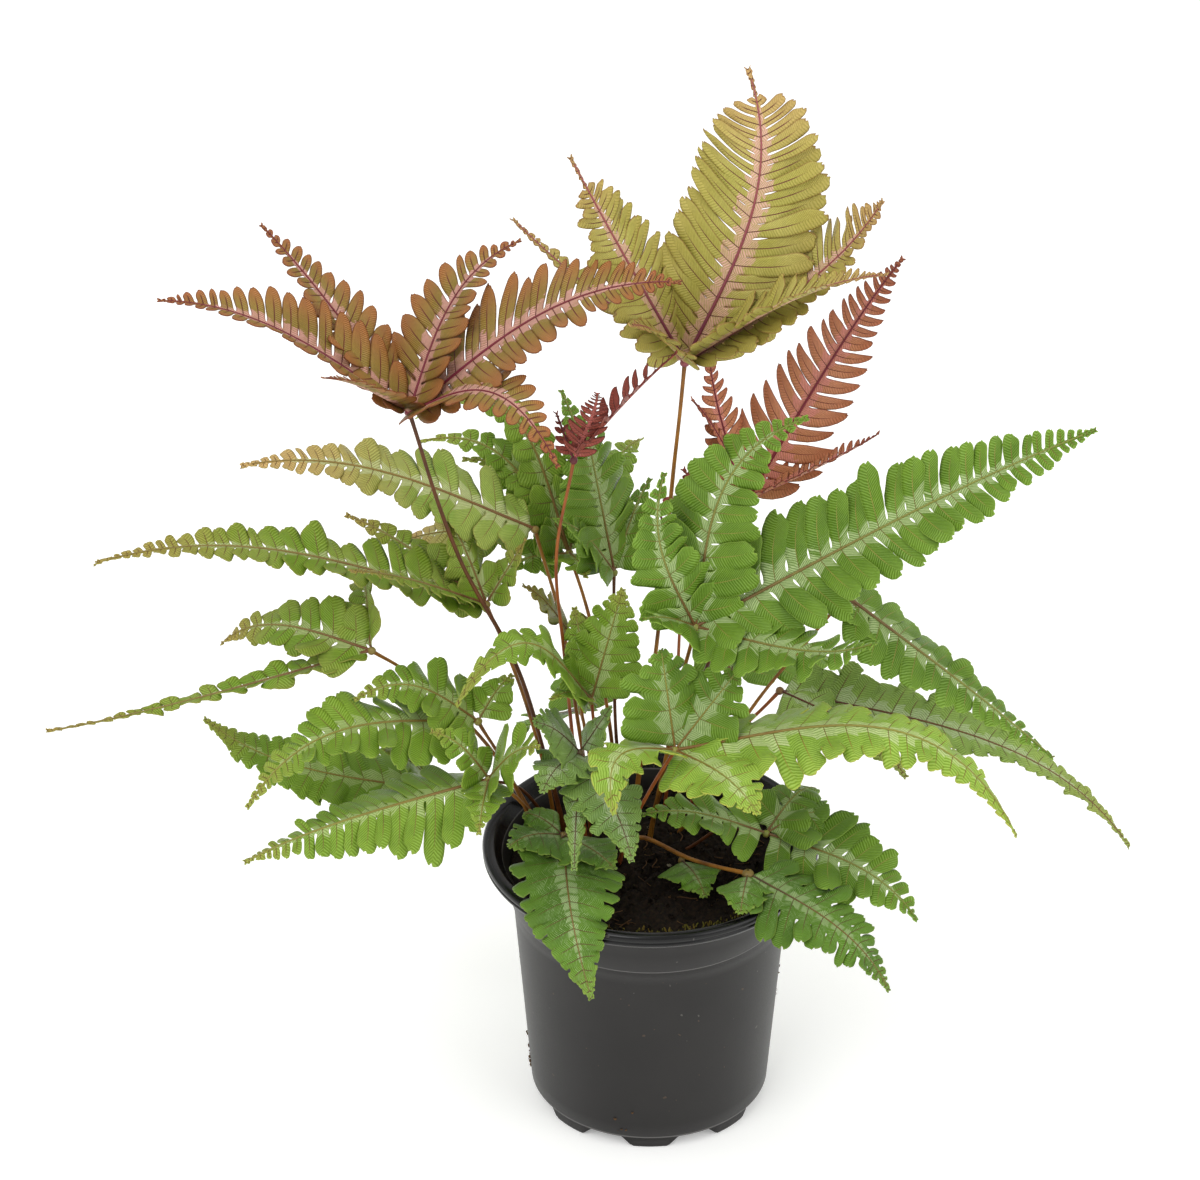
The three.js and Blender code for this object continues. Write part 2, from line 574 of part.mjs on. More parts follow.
function potProfile() {
  const [collarTop, collarHigh] = COLLAR_TOP;
  const [collarFoot, collarLow] = COLLAR_FOOT;
  const [wallFoot, wallLow] = WALL_FOOT;
  const lipLow = POT_HEIGHT - 4.6;
  const roll = 1.9;
  const outer = RIM_RADIUS - roll;
  const arc = [-40, 20, 90].map((angle) => [
    outer + roll * Math.cos(radians(angle)),
    POT_HEIGHT - roll + roll * Math.sin(radians(angle)),
  ]);
  return [
    [0, 0],
    [wallFoot - FOOT_INSET - 1, 0],
    [wallFoot - FOOT_INSET, 1],
    [wallFoot - FOOT_INSET, wallLow - 0.6],
    [wallFoot, wallLow],
    [collarFoot - COLLAR_STEP, collarLow - 0.6],
    [collarFoot, collarLow],
    [collarTop, collarHigh],
    [outer - 0.4, collarHigh + 1],
    [RIM_RADIUS - 0.5, lipLow],
    ...arc,
    [RIM_THROAT + 1, POT_HEIGHT - 0.6],
    [RIM_THROAT, POT_HEIGHT - 2],
    [innerRadius(collarHigh - 1), collarHigh - 1],
    [innerRadius(BASE_THICKNESS), BASE_THICKNESS],
    [0, BASE_THICKNESS],
  ];
}

// One drain channel: a groove under the base that widens towards the table, from near the middle out
// past the wall, and a drain hole through its roof.
function channel(angle) {
  const { depth, top, mouth, inner } = CHANNEL;
  const shape = new THREE.Shape()
    .moveTo(-mouth / 2, -1)
    .lineTo(mouth / 2, -1)
    .lineTo(top / 2, depth)
    .lineTo(-top / 2, depth);
  const groove = new THREE.ExtrudeGeometry(shape, { depth: RIM_RADIUS - inner, bevelEnabled: false })
    .rotateX(Math.PI / 2)
    .translate(0, RIM_RADIUS, 0)
    .rotateZ(angle);
  const hole = prism(
    vector([0, DRAIN.at, depth - 1]),
    vector([0, DRAIN.at, BASE_THICKNESS + 1]),
    DRAIN.radius,
    HOLE_SIDES,
  ).rotateZ(angle);
  return solid(groove).add(solid(hole));
}

function pot() {
  const profile = potProfile().map(([r, z]) => new THREE.Vector2(r, z));
  let body = solid(new THREE.LatheGeometry(profile, POT_SIDES).rotateX(Math.PI / 2));
  for (let k = 0; k < CHANNELS; k++)
    body = body.subtract(channel(((k + 0.5) * 2 * Math.PI) / CHANNELS));
  return geometryOf(body);
}

// Assembly

function piece(name, geometry, colour, roughness) {
  const material = new THREE.MeshStandardMaterial({ color: COLOURS[colour], roughness, metalness: 0 });
  const mesh = new THREE.Mesh(geometry, material);
  mesh.name = name;
  return mesh;
}

const plant = new THREE.Group();
plant.add(piece("pot", pot(), "pot", 0.4));
plant.add(piece("soil", soil(), "soil", 0.95));
for (const frond of FRONDS) {
  const group = new THREE.Group();
  group.add(piece(frond.name + "_stipe", stipe(frond), frond.stipe, 0.5));
  group.add(piece(frond.name + "_blade", blade(frond), frond.colour, 0.55));
  plant.add(group);
}

export default plant;
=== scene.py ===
"""A candy striped brake fern in its nursery pot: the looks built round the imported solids.
Tables are in millimetres, as the solids' source is, and angles in degrees; meshes are in metres."""
import math

import bpy
import numpy as np
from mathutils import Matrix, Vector


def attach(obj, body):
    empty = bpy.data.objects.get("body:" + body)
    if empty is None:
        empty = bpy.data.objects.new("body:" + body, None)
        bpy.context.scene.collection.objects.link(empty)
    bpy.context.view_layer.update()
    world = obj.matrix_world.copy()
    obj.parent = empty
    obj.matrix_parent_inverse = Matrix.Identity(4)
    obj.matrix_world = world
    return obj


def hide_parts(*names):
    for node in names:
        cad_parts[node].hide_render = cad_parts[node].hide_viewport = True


MM = 0.001
UP = np.array((0.0, 0.0, 1.0))

# Pot and soil, the same sizes as the solids have
POT_HEIGHT = 106.0
RIM_RADIUS = 60.0
RIM_THROAT = 55.0
RIM_FOOT = 101.2
COLLAR_TOP = (52.6, 99.0)
COLLAR_FOOT = (49.9, 83.5)
COLLAR_STEP = 0.7
WALL_TOP = (COLLAR_FOOT[0] - COLLAR_STEP, COLLAR_FOOT[1] - 0.6)
WALL_FOOT = (43.0, 5.5)
BEAD_RADIUS = 1.9
BASE_THICKNESS = 6.8
FOOT_INSET = 1.6
CHANNELS = 8
CHANNEL_DEPTH = 4.4
CHANNEL_TOP = 11.0
CHANNEL_MOUTH = 20.0
CHANNEL_INNER = 25.0
SOIL_LEVEL = 94.0
SOIL_CROWN = 3.0
SOIL_RELIEF = 1.1
SOIL_EDGE = 50.2
SKIRT = ((47.9, 78.0), (0.0, 78.0))
HOLE_DEPTH = 12.0

# How each kind of foliage grows: the pitch of its lobes, how much of a lobe is joined to its
# neighbours, the gap between lobes and how much of it closes again (above 1 they overlap), a lobe's
# taper, the place of its shoulder and how square it is, its lean and bend to the tip, the hook and
# slant of its end, its teeth, where the lobes start to melt into the tail, how uneven they are, the
# tilt that lays each lobe over the next, the cup, wave and droop of the blade, and the radius of the rib
KINDS = {
    "bronze": dict(pitch=6.5, joined=0.06, gap=0.12, closing=1.2, taper=-0.05, shoulder=0.5, round=2.1,
                   lean=0.36, bend=0.12, hook=0.06, slant=0.0, teeth=0.01, tail=0.98, uneven=0.1,
                   tilt=0.05, cup=0.05, wave=0.5, droop=0.03, rib=0.72),
    "gold": dict(pitch=5.5, joined=0.1, gap=0.1, closing=2.2, taper=-0.3, shoulder=0.8, round=2.2,
                 lean=0.42, bend=0.22, hook=0.05, slant=0.01, teeth=0.02, tail=0.95, uneven=0.1,
                 tilt=0.12, cup=0.05, wave=0.9, droop=0.04, rib=0.8),
    "red": dict(pitch=6.6, joined=0.08, gap=0.12, closing=0.8, taper=0.05, shoulder=0.35, round=1.9,
                lean=0.36, bend=0.24, hook=0.35, slant=0.02, teeth=0.01, tail=0.98, uneven=0.1,
                tilt=0.05, cup=0.07, wave=0.6, droop=0.06, rib=0.72),
    "green": dict(pitch=7.4, joined=0.06, gap=0.12, closing=2.0, taper=-0.13, shoulder=0.76, round=2.2,
                  lean=0.28, bend=0.14, hook=0.03, slant=0.0, teeth=0.025, tail=0.95, uneven=0.1,
                  tilt=0.1, cup=0.08, wave=1.3, droop=0.06, rib=0.72),
    "fresh": dict(pitch=7.2, joined=0.55, gap=0.06, closing=1.9, taper=-0.14, shoulder=0.6, round=2.2,
                  lean=0.32, bend=0.1, hook=0.04, slant=0.0, teeth=0.03, tail=0.94, uneven=0.14,
                  tilt=0.08, cup=0.08, wave=1.4, droop=0.08, rib=0.68),
    "dark": dict(pitch=5.7, joined=0.7, gap=0.04, closing=2.0, taper=-0.12, shoulder=0.56, round=2.2,
                 lean=0.3, bend=0.08, hook=0.04, slant=0.0, teeth=0.05, tail=0.94, uneven=0.14,
                 tilt=0.07, cup=0.2, wave=1.3, droop=0.12, rib=0.56),
}


def pinna(tip, width, fold, full, arch=0, bow=0, roll=0, **more):
    """One pinna from the hub to its tip. width is its widest, fold raises both halves, full is how late
    it tapers, arch and bow lift its middle up and to its left, and roll raises its left half. more holds
    a look of its own, values in place of its kind's, and where a thin tail starts."""
    return dict(tip=tip, arch=arch, bow=bow, width=width, roll=roll, fold=fold, full=full, more=more)


def frond(name, kind, stem, radius, root, via, hub, pinnae, **more):
    """One frond: the kind of foliage, the stem's finish and radius, where the stem leaves the soil,
    the points that it passes, the hub where the pinnae meet, and the pinnae. more holds its look,
    where that isn't the one named like its kind."""
    return dict(name=name, kind=kind, stem=stem, radius=radius, root=root, via=via, hub=hub,
                pinnae=pinnae, more=more)


FRONDS = [
    frond("bronze", "bronze", "brown_stipe", 1.2, root=(-30, 15),
          via=[[-46, 12, 168], [-67, 9, 218]], hub=[-83, 5, 279], pinnae=[
        pinna([-166, -5, 328], arch=8.5, width=38, roll=-15, fold=34, full=2.1),
        pinna([-133, 30, 338], bow=-2, width=34, fold=15, full=1.9),
        pinna([-45, 30, 332], arch=6, bow=6, width=38, fold=15, full=1.9),
        pinna([9, -5, 335], arch=12, width=48, roll=22, fold=13, full=2.3),
        pinna([-32, -40, 284], arch=20, width=38, roll=8, fold=10, full=2),
        pinna([-109, -45, 321], arch=2, width=24, fold=20, full=1.4),
    ]),
    frond("gold", "gold", "golden_stipe", 1.2, root=(-6, 26),
          via=[[4, 21, 200], [8, 20, 250]], hub=[11, 20, 290], pinnae=[
        pinna([32, 50, 387], bow=-14, width=51, roll=25, fold=8, full=3.8, thin=0.94),
        pinna([-28, 20, 369], bow=2, width=35, roll=-40, fold=12, full=2.2, thin=0.9),
        pinna([-48, 60, 324], arch=-2, width=18, fold=25, full=1.3),
        pinna([77, 15, 355], arch=-6, width=39, roll=22, fold=25, full=3.2),
        pinna([77, -20, 346], arch=5, width=32, roll=5, fold=30, full=1.5),
        pinna([-8, -15, 324], arch=3, width=20, roll=-20, fold=15, full=1.5),
    ]),
    frond("young_red", "red", "reddish_stipe", 1, root=(-23, 12),
          via=[[-31, 12, 178], [-33, 5, 220]], hub=[-27, 0, 263], pinnae=[
        pinna([8, -5, 308], arch=1, width=18, roll=10, fold=40, full=2.4, pitch=6.0, gap=0.45),
        pinna([-19, -15, 298], arch=2, bow=3, width=15, roll=-30, fold=10, full=2,
              pitch=3.6, gap=0.4, joined=0.02),
        pinna([-33, 10, 276], width=10, fold=10, full=1.5, pitch=3.6, gap=0.4, joined=0.02),
    ], look="crimson"),
    frond("red", "red", "brown_stipe", 1.1, root=(2, 35),
          via=[[24, 42, 165]], hub=[34, 50, 217], pinnae=[
        pinna([86, 45, 317], bow=8, width=40, roll=65, fold=8, full=1.5),
        pinna([20, 60, 272], bow=3, width=22, roll=-20, fold=10, full=1.8, pitch=5.4),
        pinna([14, 45, 261], arch=2, width=13, roll=-20, fold=10, full=1.6, pitch=4.4),
        pinna([79, 35, 253], arch=-1, width=15, roll=10, fold=40, full=2, pitch=4.6),
    ]),
    frond("crozier", "red", "reddish_stipe", 0.9, root=(5, 27),
          via=[[10, 29, 165]], hub=[12, 30, 229], pinnae=[
        pinna([11, 28, 243], bow=2, width=7, roll=40, fold=15, full=2.4),
        pinna([4, 27, 222], arch=5, width=6, fold=15, full=2.4),
    ], look="crimson"),
    frond("back_left", "green", "golden_stipe", 1.1, root=(-22, 40),
          via=[[-30, 44, 160]], hub=[-41, 45, 208], pinnae=[
        pinna([-143, 30, 243], arch=10, width=36, roll=-20, fold=10, full=1.8),
        pinna([-92, 64, 190], arch=3, width=26, roll=-20, fold=8, full=1.6),
    ], look="aged"),
    frond("back", "green", "golden_stipe", 1.1, root=(-12, 46),
          via=[[-19, 52, 155]], hub=[-29, 60, 189], pinnae=[
        pinna([-84, 100, 222], arch=34, width=20, roll=-30, fold=8, full=1.5),
        pinna([-83, 84, 221], arch=18, width=25, roll=-30, fold=8, full=1.5),
        pinna([-67, 75, 219], arch=12, width=26, roll=-30, fold=8, full=1.5),
        pinna([-22, 76, 211], width=18, fold=8, full=1.5),
        pinna([-3, 110, 207], arch=8, width=30, fold=8, full=1.6),
        pinna([-51, 56, 184], arch=3, width=18, roll=-40, fold=8, full=1.8),
        pinna([-23, 32, 196], arch=2, width=20, fold=8, full=2),
    ], look="light"),
    frond("middle", "green", "brown_stipe", 1, root=(-10, 36),
          via=[[-13, 40, 150]], hub=[-13, 45, 190], pinnae=[
        pinna([-24, 50, 253], width=42, roll=-20, fold=8, full=1.8),
        pinna([-34, 30, 221], arch=3, width=22, roll=-30, fold=8, full=1.5),
        pinna([0, 70, 214], arch=3, width=22, fold=8, full=1.5),
        pinna([-32, 95, 236], arch=6, width=28, fold=8, full=1.6),
    ]),
    frond("left", "green", "golden_stipe", 1.1, root=(-34, 26),
          via=[[-44, 25, 148]], hub=[-58, 22, 191], pinnae=[
        pinna([-191, -10, 228], arch=13, width=28, roll=-15, fold=20, full=1.9),
        pinna([-108, 50, 211], arch=3, width=20, roll=-25, fold=10, full=1.5),
        pinna([-103, -25, 234], arch=2, width=12, roll=-20, fold=12, full=1.5),
        pinna([-74, 35, 224], arch=2, width=24, roll=-10, fold=10, full=1.5),
        pinna([-44, 30, 213], width=18, fold=10, full=1.5),
    ], look="olive"),
    frond("far_left", "green", "golden_stipe", 1.1, root=(-38, 19),
          via=[[-61, 23, 135], [-86, 15, 167]], hub=[-98, 6, 182], pinnae=[
        pinna([-211, -15, 162], arch=-2, width=17, roll=-3, fold=28, full=0.9),
        pinna([-152, 25, 173], arch=9, width=33, roll=-25, fold=10, full=1.4),
        pinna([-102, 45, 187], arch=8, width=26, roll=-45, fold=45, full=1.6),
    ], look="olive"),
    frond("low_left", "green", "golden_stipe", 1.1, root=(-37, 10),
          via=[[-52, 8, 132]], hub=[-61, 5, 153], pinnae=[
        pinna([-141, -30, 140], arch=18, width=42, roll=-15, fold=10, full=1.7, pitch=6.0),
        pinna([-104, -4, 168], arch=10, width=32, roll=-28, fold=8, full=1.7, pitch=6.0),
        pinna([-49, 20, 163], arch=2, width=20, fold=8, full=1.8, pitch=6.0),
    ], look="light"),
    frond("light_left", "fresh", "reddish_stipe", 1, root=(-16, 19),
          via=[[-18, 9, 130]], hub=[-21, 0, 165], pinnae=[
        pinna([-68, -20, 176], arch=25, width=30, roll=-15, fold=6, full=1.5, pitch=6.0),
        pinna([-10, 10, 205], width=31, roll=20, fold=8, full=2.1, pitch=6.0),
        pinna([-27, 17, 193], width=20, fold=8, full=2, pitch=6.0),
        pinna([-35, -15, 175], arch=3, width=16, fold=8, full=1.7, pitch=6.0),
    ], look="light"),
    frond("olive_middle", "gold", "golden_stipe", 0.9, root=(-19, 27),
          via=[[-23, 27, 130]], hub=[-28, 25, 175], pinnae=[
        pinna([-45, 25, 197], arch=2, width=22, fold=8, full=1.8),
        pinna([-19, 31, 176], arch=3, width=16, fold=8, full=1.8),
    ], look="khaki"),
    frond("rim_left", "green", "golden_stipe", 1.1, root=(-31, 3),
          via=[[-47, -6, 127]], hub=[-57, -15, 142], pinnae=[
        pinna([-142, -40, 124], arch=3, width=42, roll=-22, fold=-20, full=1.35, pitch=6.0),
        pinna([-77, -15, 162], arch=3, width=22, roll=-30, fold=8, full=1.7, pitch=6.0),
        pinna([-39, -28, 164], arch=3, width=34, roll=30, fold=8, full=1.7, pitch=6.0),
        pinna([-60, -45, 139], arch=3, width=18, fold=8, full=1.7, pitch=6.0),
    ], look="light"),
    frond("low_back_left", "dark", "brown_stipe", 1, root=(-38, 30),
          via=[[-50, 25, 113]], hub=[-75, 15, 117], pinnae=[
        pinna([-158, 10, 151], arch=-8, width=40, roll=-25, fold=8, full=1.5, pitch=6.0),
        pinna([-94, 0, 144], arch=2, width=28, roll=-15, fold=8, full=1.8, pitch=6.0),
    ], look="light"),
    frond("big_right", "green", "golden_stipe", 1.3, root=(0, 15),
          via=[[7, 4, 150]], hub=[15, -10, 202], pinnae=[
        pinna([151, 0, 275], arch=3, width=50, roll=40, fold=20, full=2.4),
        pinna([53, 5, 277], arch=12, bow=8, width=42, roll=45, fold=6, full=1.8),
        pinna([4, 0, 258], bow=9, width=31, roll=-35, fold=8, full=1.7),
        pinna([76, -50, 221], arch=-6, width=36, roll=15, fold=5, full=1.7),
        pinna([-4, -25, 214], arch=2, width=28, fold=5, full=1.8),
    ]),
    frond("far_right", "dark", "reddish_stipe", 1.1, root=(12, 29),
          via=[[28, 28, 128]], hub=[46, 25, 153], pinnae=[
        pinna([173, 20, 89], arch=17, width=38, roll=20, fold=25, full=1.1),
        pinna([90, -5, 136], arch=6, width=24, roll=10, fold=6, full=1.6),
    ], look="muted"),
    frond("right", "green", "golden_stipe", 1, root=(11, 20),
          via=[[36, 18, 150]], hub=[68, 15, 199], pinnae=[
        pinna([142, 0, 141], arch=1, width=32, roll=14, fold=-8, full=1.5),
        pinna([84, 8, 176], arch=2, width=14, fold=6, full=1.6),
    ]),
    frond("bright_front", "fresh", "reddish_stipe", 1.1, root=(-11, -1),
          via=[[-5, -16, 128]], hub=[8, -30, 164], pinnae=[
        pinna([126, -50, 142], arch=31, width=38, roll=16, fold=-10, full=1.6),
        pinna([3, -20, 199], width=42, fold=8, full=1.9, look="green"),
        pinna([30, -20, 191], width=38, roll=30, fold=8, full=1.9, look="green"),
        pinna([36, -65, 161], arch=5, width=38, roll=10, fold=4, full=2.2),
        pinna([-13, -65, 161], arch=11, bow=-8, width=32, fold=4, full=2.2),
    ]),
    frond("grey_front", "dark", "brown_stipe", 1, root=(-21, 2),
          via=[[-23, -7, 128]], hub=[-25, -15, 153], pinnae=[
        pinna([-7, -50, 131], arch=6, width=33, fold=6, full=1.8),
        pinna([-38, -40, 153], arch=4, width=28, fold=6, full=1.8),
        pinna([-41, -20, 169], arch=2, width=32, roll=-15, fold=6, full=1.8),
        pinna([-14, -10, 169], width=17, fold=6, full=1.8),
        pinna([-27, -45, 124], arch=4, width=12, fold=6, full=1.8),
    ], look="grey"),
    frond("over_rim", "dark", "brown_stipe", 1, root=(-26, -6),
          via=[[-29, -10, 108]], hub=[-31, -15, 118], pinnae=[
        pinna([-21, -66, 84], arch=18, bow=-5, width=42, fold=4, full=2),
        pinna([-50, -28, 122], arch=3, width=28, fold=4, full=1.9),
        pinna([-13, -40, 121], arch=2, width=26, fold=4, full=1.9),
        pinna([-45, -10, 124], arch=2, width=18, roll=-10, fold=4, full=1.9),
    ]),
    frond("low_right", "dark", "golden_stipe", 1.5, root=(-8, 9),
          via=[[-4, 4, 104], [13, -12, 106]], hub=[34, -30, 112], pinnae=[
        pinna([83, -60, 83], arch=8, width=43, roll=5, fold=6, full=1.6, joined=0.35, gap=0.16),
        pinna([31, -50, 109], arch=2, width=22, fold=4, full=1.9),
    ]),
    frond("mottled_right", "green", "brown_stipe", 1, root=(14, 9),
          via=[[26, 4, 108]], hub=[41, -5, 112], pinnae=[
        pinna([94, -30, 92], arch=8, width=45, roll=12, fold=4, full=1.7),
        pinna([66, 5, 110], arch=6, width=34, roll=10, fold=4, full=1.8),
        pinna([60, 20, 114], arch=6, width=28, fold=4, full=1.8),
        pinna([-3, -15, 127], arch=4, width=32, roll=-10, fold=4, full=1.9),
    ]),
    frond("small_front", "dark", "brown_stipe", 0.9, root=(9, -4),
          via=[[10, -5, 98]], hub=[11, -6, 101], pinnae=[
        pinna([19, -30, 102], arch=3, width=24, fold=4, full=2),
    ]),
    frond("low_back", "green", "golden_stipe", 1, root=(-16, 40),
          via=[[-22, 56, 112]], hub=[-25, 70, 115], pinnae=[
        pinna([-50, 122, 72], arch=2, width=26, fold=5, full=1.7),
        pinna([-14, 132, 94], arch=12, width=30, fold=5, full=1.7),
    ]),
    frond("low_back_right", "green", "golden_stipe", 1, root=(10, 43),
          via=[[18, 58, 112]], hub=[30, 75, 128], pinnae=[
        pinna([44, 142, 104], arch=14, width=32, fold=5, full=1.7),
        pinna([74, 98, 108], arch=12, width=30, fold=5, full=1.6),
        pinna([14, 104, 146], arch=5, width=22, fold=5, full=1.7),
    ]),
]


# Vectors and curves

def unit(v):
    return v / np.linalg.norm(v, axis=-1, keepdims=True)


def smooth(low, high, x):
    """Rises from 0 at low to 1 at high along 3x² - 2x³."""
    x = np.clip((x - low) / (high - low), 0.0, 1.0)
    return x * x * (3 - 2 * x)


def rib_of(hub, piece):
    """The rib: the chord from hub to tip, lifted along its up by arch and along its left by bow, times
    the two humps 2t(1-t) + 3.375t²(1-t). Returns its length and a function that gives the point,
    the tangent, the side turned by roll, and the normal at each t."""
    hub = np.array(hub, float)
    chord = np.array(piece["tip"], float) - hub
    length = float(np.linalg.norm(chord))
    left = unit(np.cross(UP, chord))
    lift = np.cross(chord / length, left)
    roll = math.radians(piece["roll"])

    def point(t):
        hump = 2 * t * (1 - t) + 3.375 * t * t * (1 - t)
        offset = piece["arch"] * lift + piece["bow"] * left
        return hub + t[..., None] * chord + hump[..., None] * offset

    def frame(t):
        t = np.asarray(t, float)
        tangent = unit(point(t + 0.01) - point(t - 0.01))
        level = unit(left - tangent * np.sum(tangent * left, axis=-1, keepdims=True))
        side = level * math.cos(roll) + np.cross(tangent, level) * math.sin(roll)
        return point(t), tangent, side, np.cross(tangent, side)

    return length, frame


def half_width(piece, t):
    """Half width of a pinna: it swells within the first fifth and tapers to the tip, or to the thin
    tail that starts at thin."""
    swell = 1 - 0.5 * (1 - np.clip(t / 0.2, 0, 1)) ** 2
    thin = piece["more"].get("thin", 1.2)
    swell = swell * (1 - smooth(thin - 0.1, thin, t))
    return np.maximum(0.5 * piece["width"] * swell * (1 - np.clip(t, 0, 1) ** piece["full"]), 0.6)


def catmull(points, count):
    """A centripetal Catmull-Rom curve through the points, cut into count points at equal lengths."""
    p = np.array(points, float)
    p = np.vstack([2 * p[0] - p[1], p, 2 * p[-1] - p[-2]])
    fine = []
    for a, b, c, d in zip(p, p[1:], p[2:], p[3:]):
        knots = np.cumsum([0] + [np.linalg.norm(v - u) ** 0.5 for u, v in ((a, b), (b, c), (c, d))])
        k0, k1, k2, k3 = knots
        t = np.linspace(k1, k2, 24, endpoint=False)[:, None]
        a1 = (k1 - t) / (k1 - k0) * a + (t - k0) / (k1 - k0) * b
        a2 = (k2 - t) / (k2 - k1) * b + (t - k1) / (k2 - k1) * c
        a3 = (k3 - t) / (k3 - k2) * c + (t - k2) / (k3 - k2) * d
        b1 = (k2 - t) / (k2 - k0) * a1 + (t - k0) / (k2 - k0) * a2
        b2 = (k3 - t) / (k3 - k1) * a2 + (t - k1) / (k3 - k1) * a3
        fine.append((k2 - t) / (k2 - k1) * b1 + (t - k1) / (k2 - k1) * b2)
    fine = np.vstack(fine + [p[-2][None]])
    run = np.concatenate([[0], np.cumsum(np.linalg.norm(np.diff(fine, axis=0), axis=1))])
    at = np.linspace(0, run[-1], count)
    return np.stack([np.interp(at, run, fine[:, i]) for i in range(3)], axis=1)


# Meshes

MARKS = ("lobe", "spot", "cell")


class Mesh:
    """Vertices, faces of four corners, the vectors that the finish reads at each corner, and the
    material number of each face, gathered from several surfaces."""

    def __init__(self):
        self.points, self.faces, self.finish = [], [], []
        self.marks = {key: [] for key in MARKS}
        self.count = 0

    def add(self, points, faces, marks=None, finish=0):
        """marks give a vector for each corner of each face."""
        self.points.append(points.reshape(-1, 3))
        self.faces.append(faces + self.count)
        for key in MARKS:
            self.marks[key].append((marks or {}).get(key, np.zeros(faces.shape + (3,))))
        self.finish.append(np.full(len(faces), finish))
        self.count += len(points.reshape(-1, 3))

    def build(self, name, materials):
        points = np.vstack(self.points) * MM
        faces = np.vstack(self.faces)
        mesh = bpy.data.meshes.new(name)
        mesh.vertices.add(len(points))
        mesh.vertices.foreach_set("co", points.ravel())
        mesh.loops.add(faces.size)
        mesh.loops.foreach_set("vertex_index", faces.ravel().astype(np.int32))
        mesh.polygons.add(len(faces))
        mesh.polygons.foreach_set("loop_start", np.arange(len(faces), dtype=np.int32) * 4)
        mesh.polygons.foreach_set("material_index", np.concatenate(self.finish).astype(np.int32))
        mesh.update(calc_edges=True)
        for key, vectors in self.marks.items():
            layer = mesh.attributes.new(key, "FLOAT_VECTOR", "CORNER")
            layer.data.foreach_set("vector", np.vstack(vectors).astype(np.float32).ravel())
        for material in materials:
            mesh.materials.append(material)
        mesh.validate()
        mesh.shade_smooth()
        piece = bpy.data.objects.new(name, mesh)
        bpy.context.scene.collection.objects.link(piece)
        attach(piece, "root")
        return piece


def grid_faces(ids):
    """The four corners of each cell of a grid of point numbers, the last two axes being its own."""
    cells = [ids[..., :-1, :-1], ids[..., :-1, 1:], ids[..., 1:, 1:], ids[..., 1:, :-1]]
    return np.stack(cells, axis=-1).reshape(-1, 4)


def ring_angles(sides):
    """The angles of the corners of a ring."""
    return 2 * math.pi * np.arange(sides) / sides


def ring_faces(points):
    """The faces of a closed surface made of rings, the first and last of which are one point each."""
    rings, sides = points.shape[:2]
    ids = np.arange(rings * sides).reshape(rings, sides)
    ids[0], ids[-1] = ids[0, 0], ids[-1, 0]
    return grid_faces(np.concatenate([ids, ids[:, :1]], axis=1))


def tube(mesh, path, radii, sides=8, finish=0):
    """A round tube along a path: rings of points at each radius, square to the path, each ring turned
    as little as it can be from the one before, and both ends drawn to a point."""
    path = np.asarray(path, float)
    tangent = unit(np.gradient(path, axis=0))
    across = unit(np.cross(tangent[0], (0.3, 0.5, -0.8)))
    rows = []
    for direction in tangent:
        across = unit(across - direction * np.dot(across, direction))
        rows.append(across)
    across = np.array(rows)
    other = np.cross(tangent, across)
    turn = ring_angles(sides)
    ring = np.cos(turn)[None, :, None] * across[:, None] + np.sin(turn)[None, :, None] * other[:, None]
    points = path[:, None] + np.asarray(radii, float)[:, None, None] * ring
    ends = [path[:1, None] + 0 * points[:1], points, path[-1:, None] + 0 * points[-1:]]
    points = np.concatenate(ends)
    faces = ring_faces(points)
    along = np.repeat(np.linspace(0, 1, points.shape[0]), sides)
    spot = np.stack([along, 0 * along, 0 * along], axis=1)[faces]
    mesh.add(points, faces, {"spot": spot}, finish)


# Leaves

JOINED_ROWS = (0.0, 0.4, 0.75, 1.0)
FREE_ROWS = (0.035, 0.12, 0.27, 0.45, 0.62, 0.76, 0.87, 0.945, 0.985, 1.0)
LOBE_COLUMNS = 6
LEAF_THICKNESS = 0.36
RIB_RISE = 0.3
NECK = 1.6  # from the hub to the first lobe
CROWDING = 1.6  # how much closer the lobes are near the tip
MEAN_CROWDING = 1.3  # the crowding at which a kind's pitch is the mean one
JITTER = 0.07  # of the pitch, by which the border of two lobes strays
SHORTER = 0.16  # by which a stunted lobe is shorter
STUNTED = 0.93  # the draw above which a lobe is stunted
FINGERS = (0.5, 0.88)  # along the pinna, where the gaps stop closing
GAP_ONSET = 0.03  # of a lobe's length, in which its gap opens
GAP_CLOSES = (0.06, 0.4)  # of a lobe's length
TAIL_JOIN = 0.8  # how far the lobes are joined at the very tip


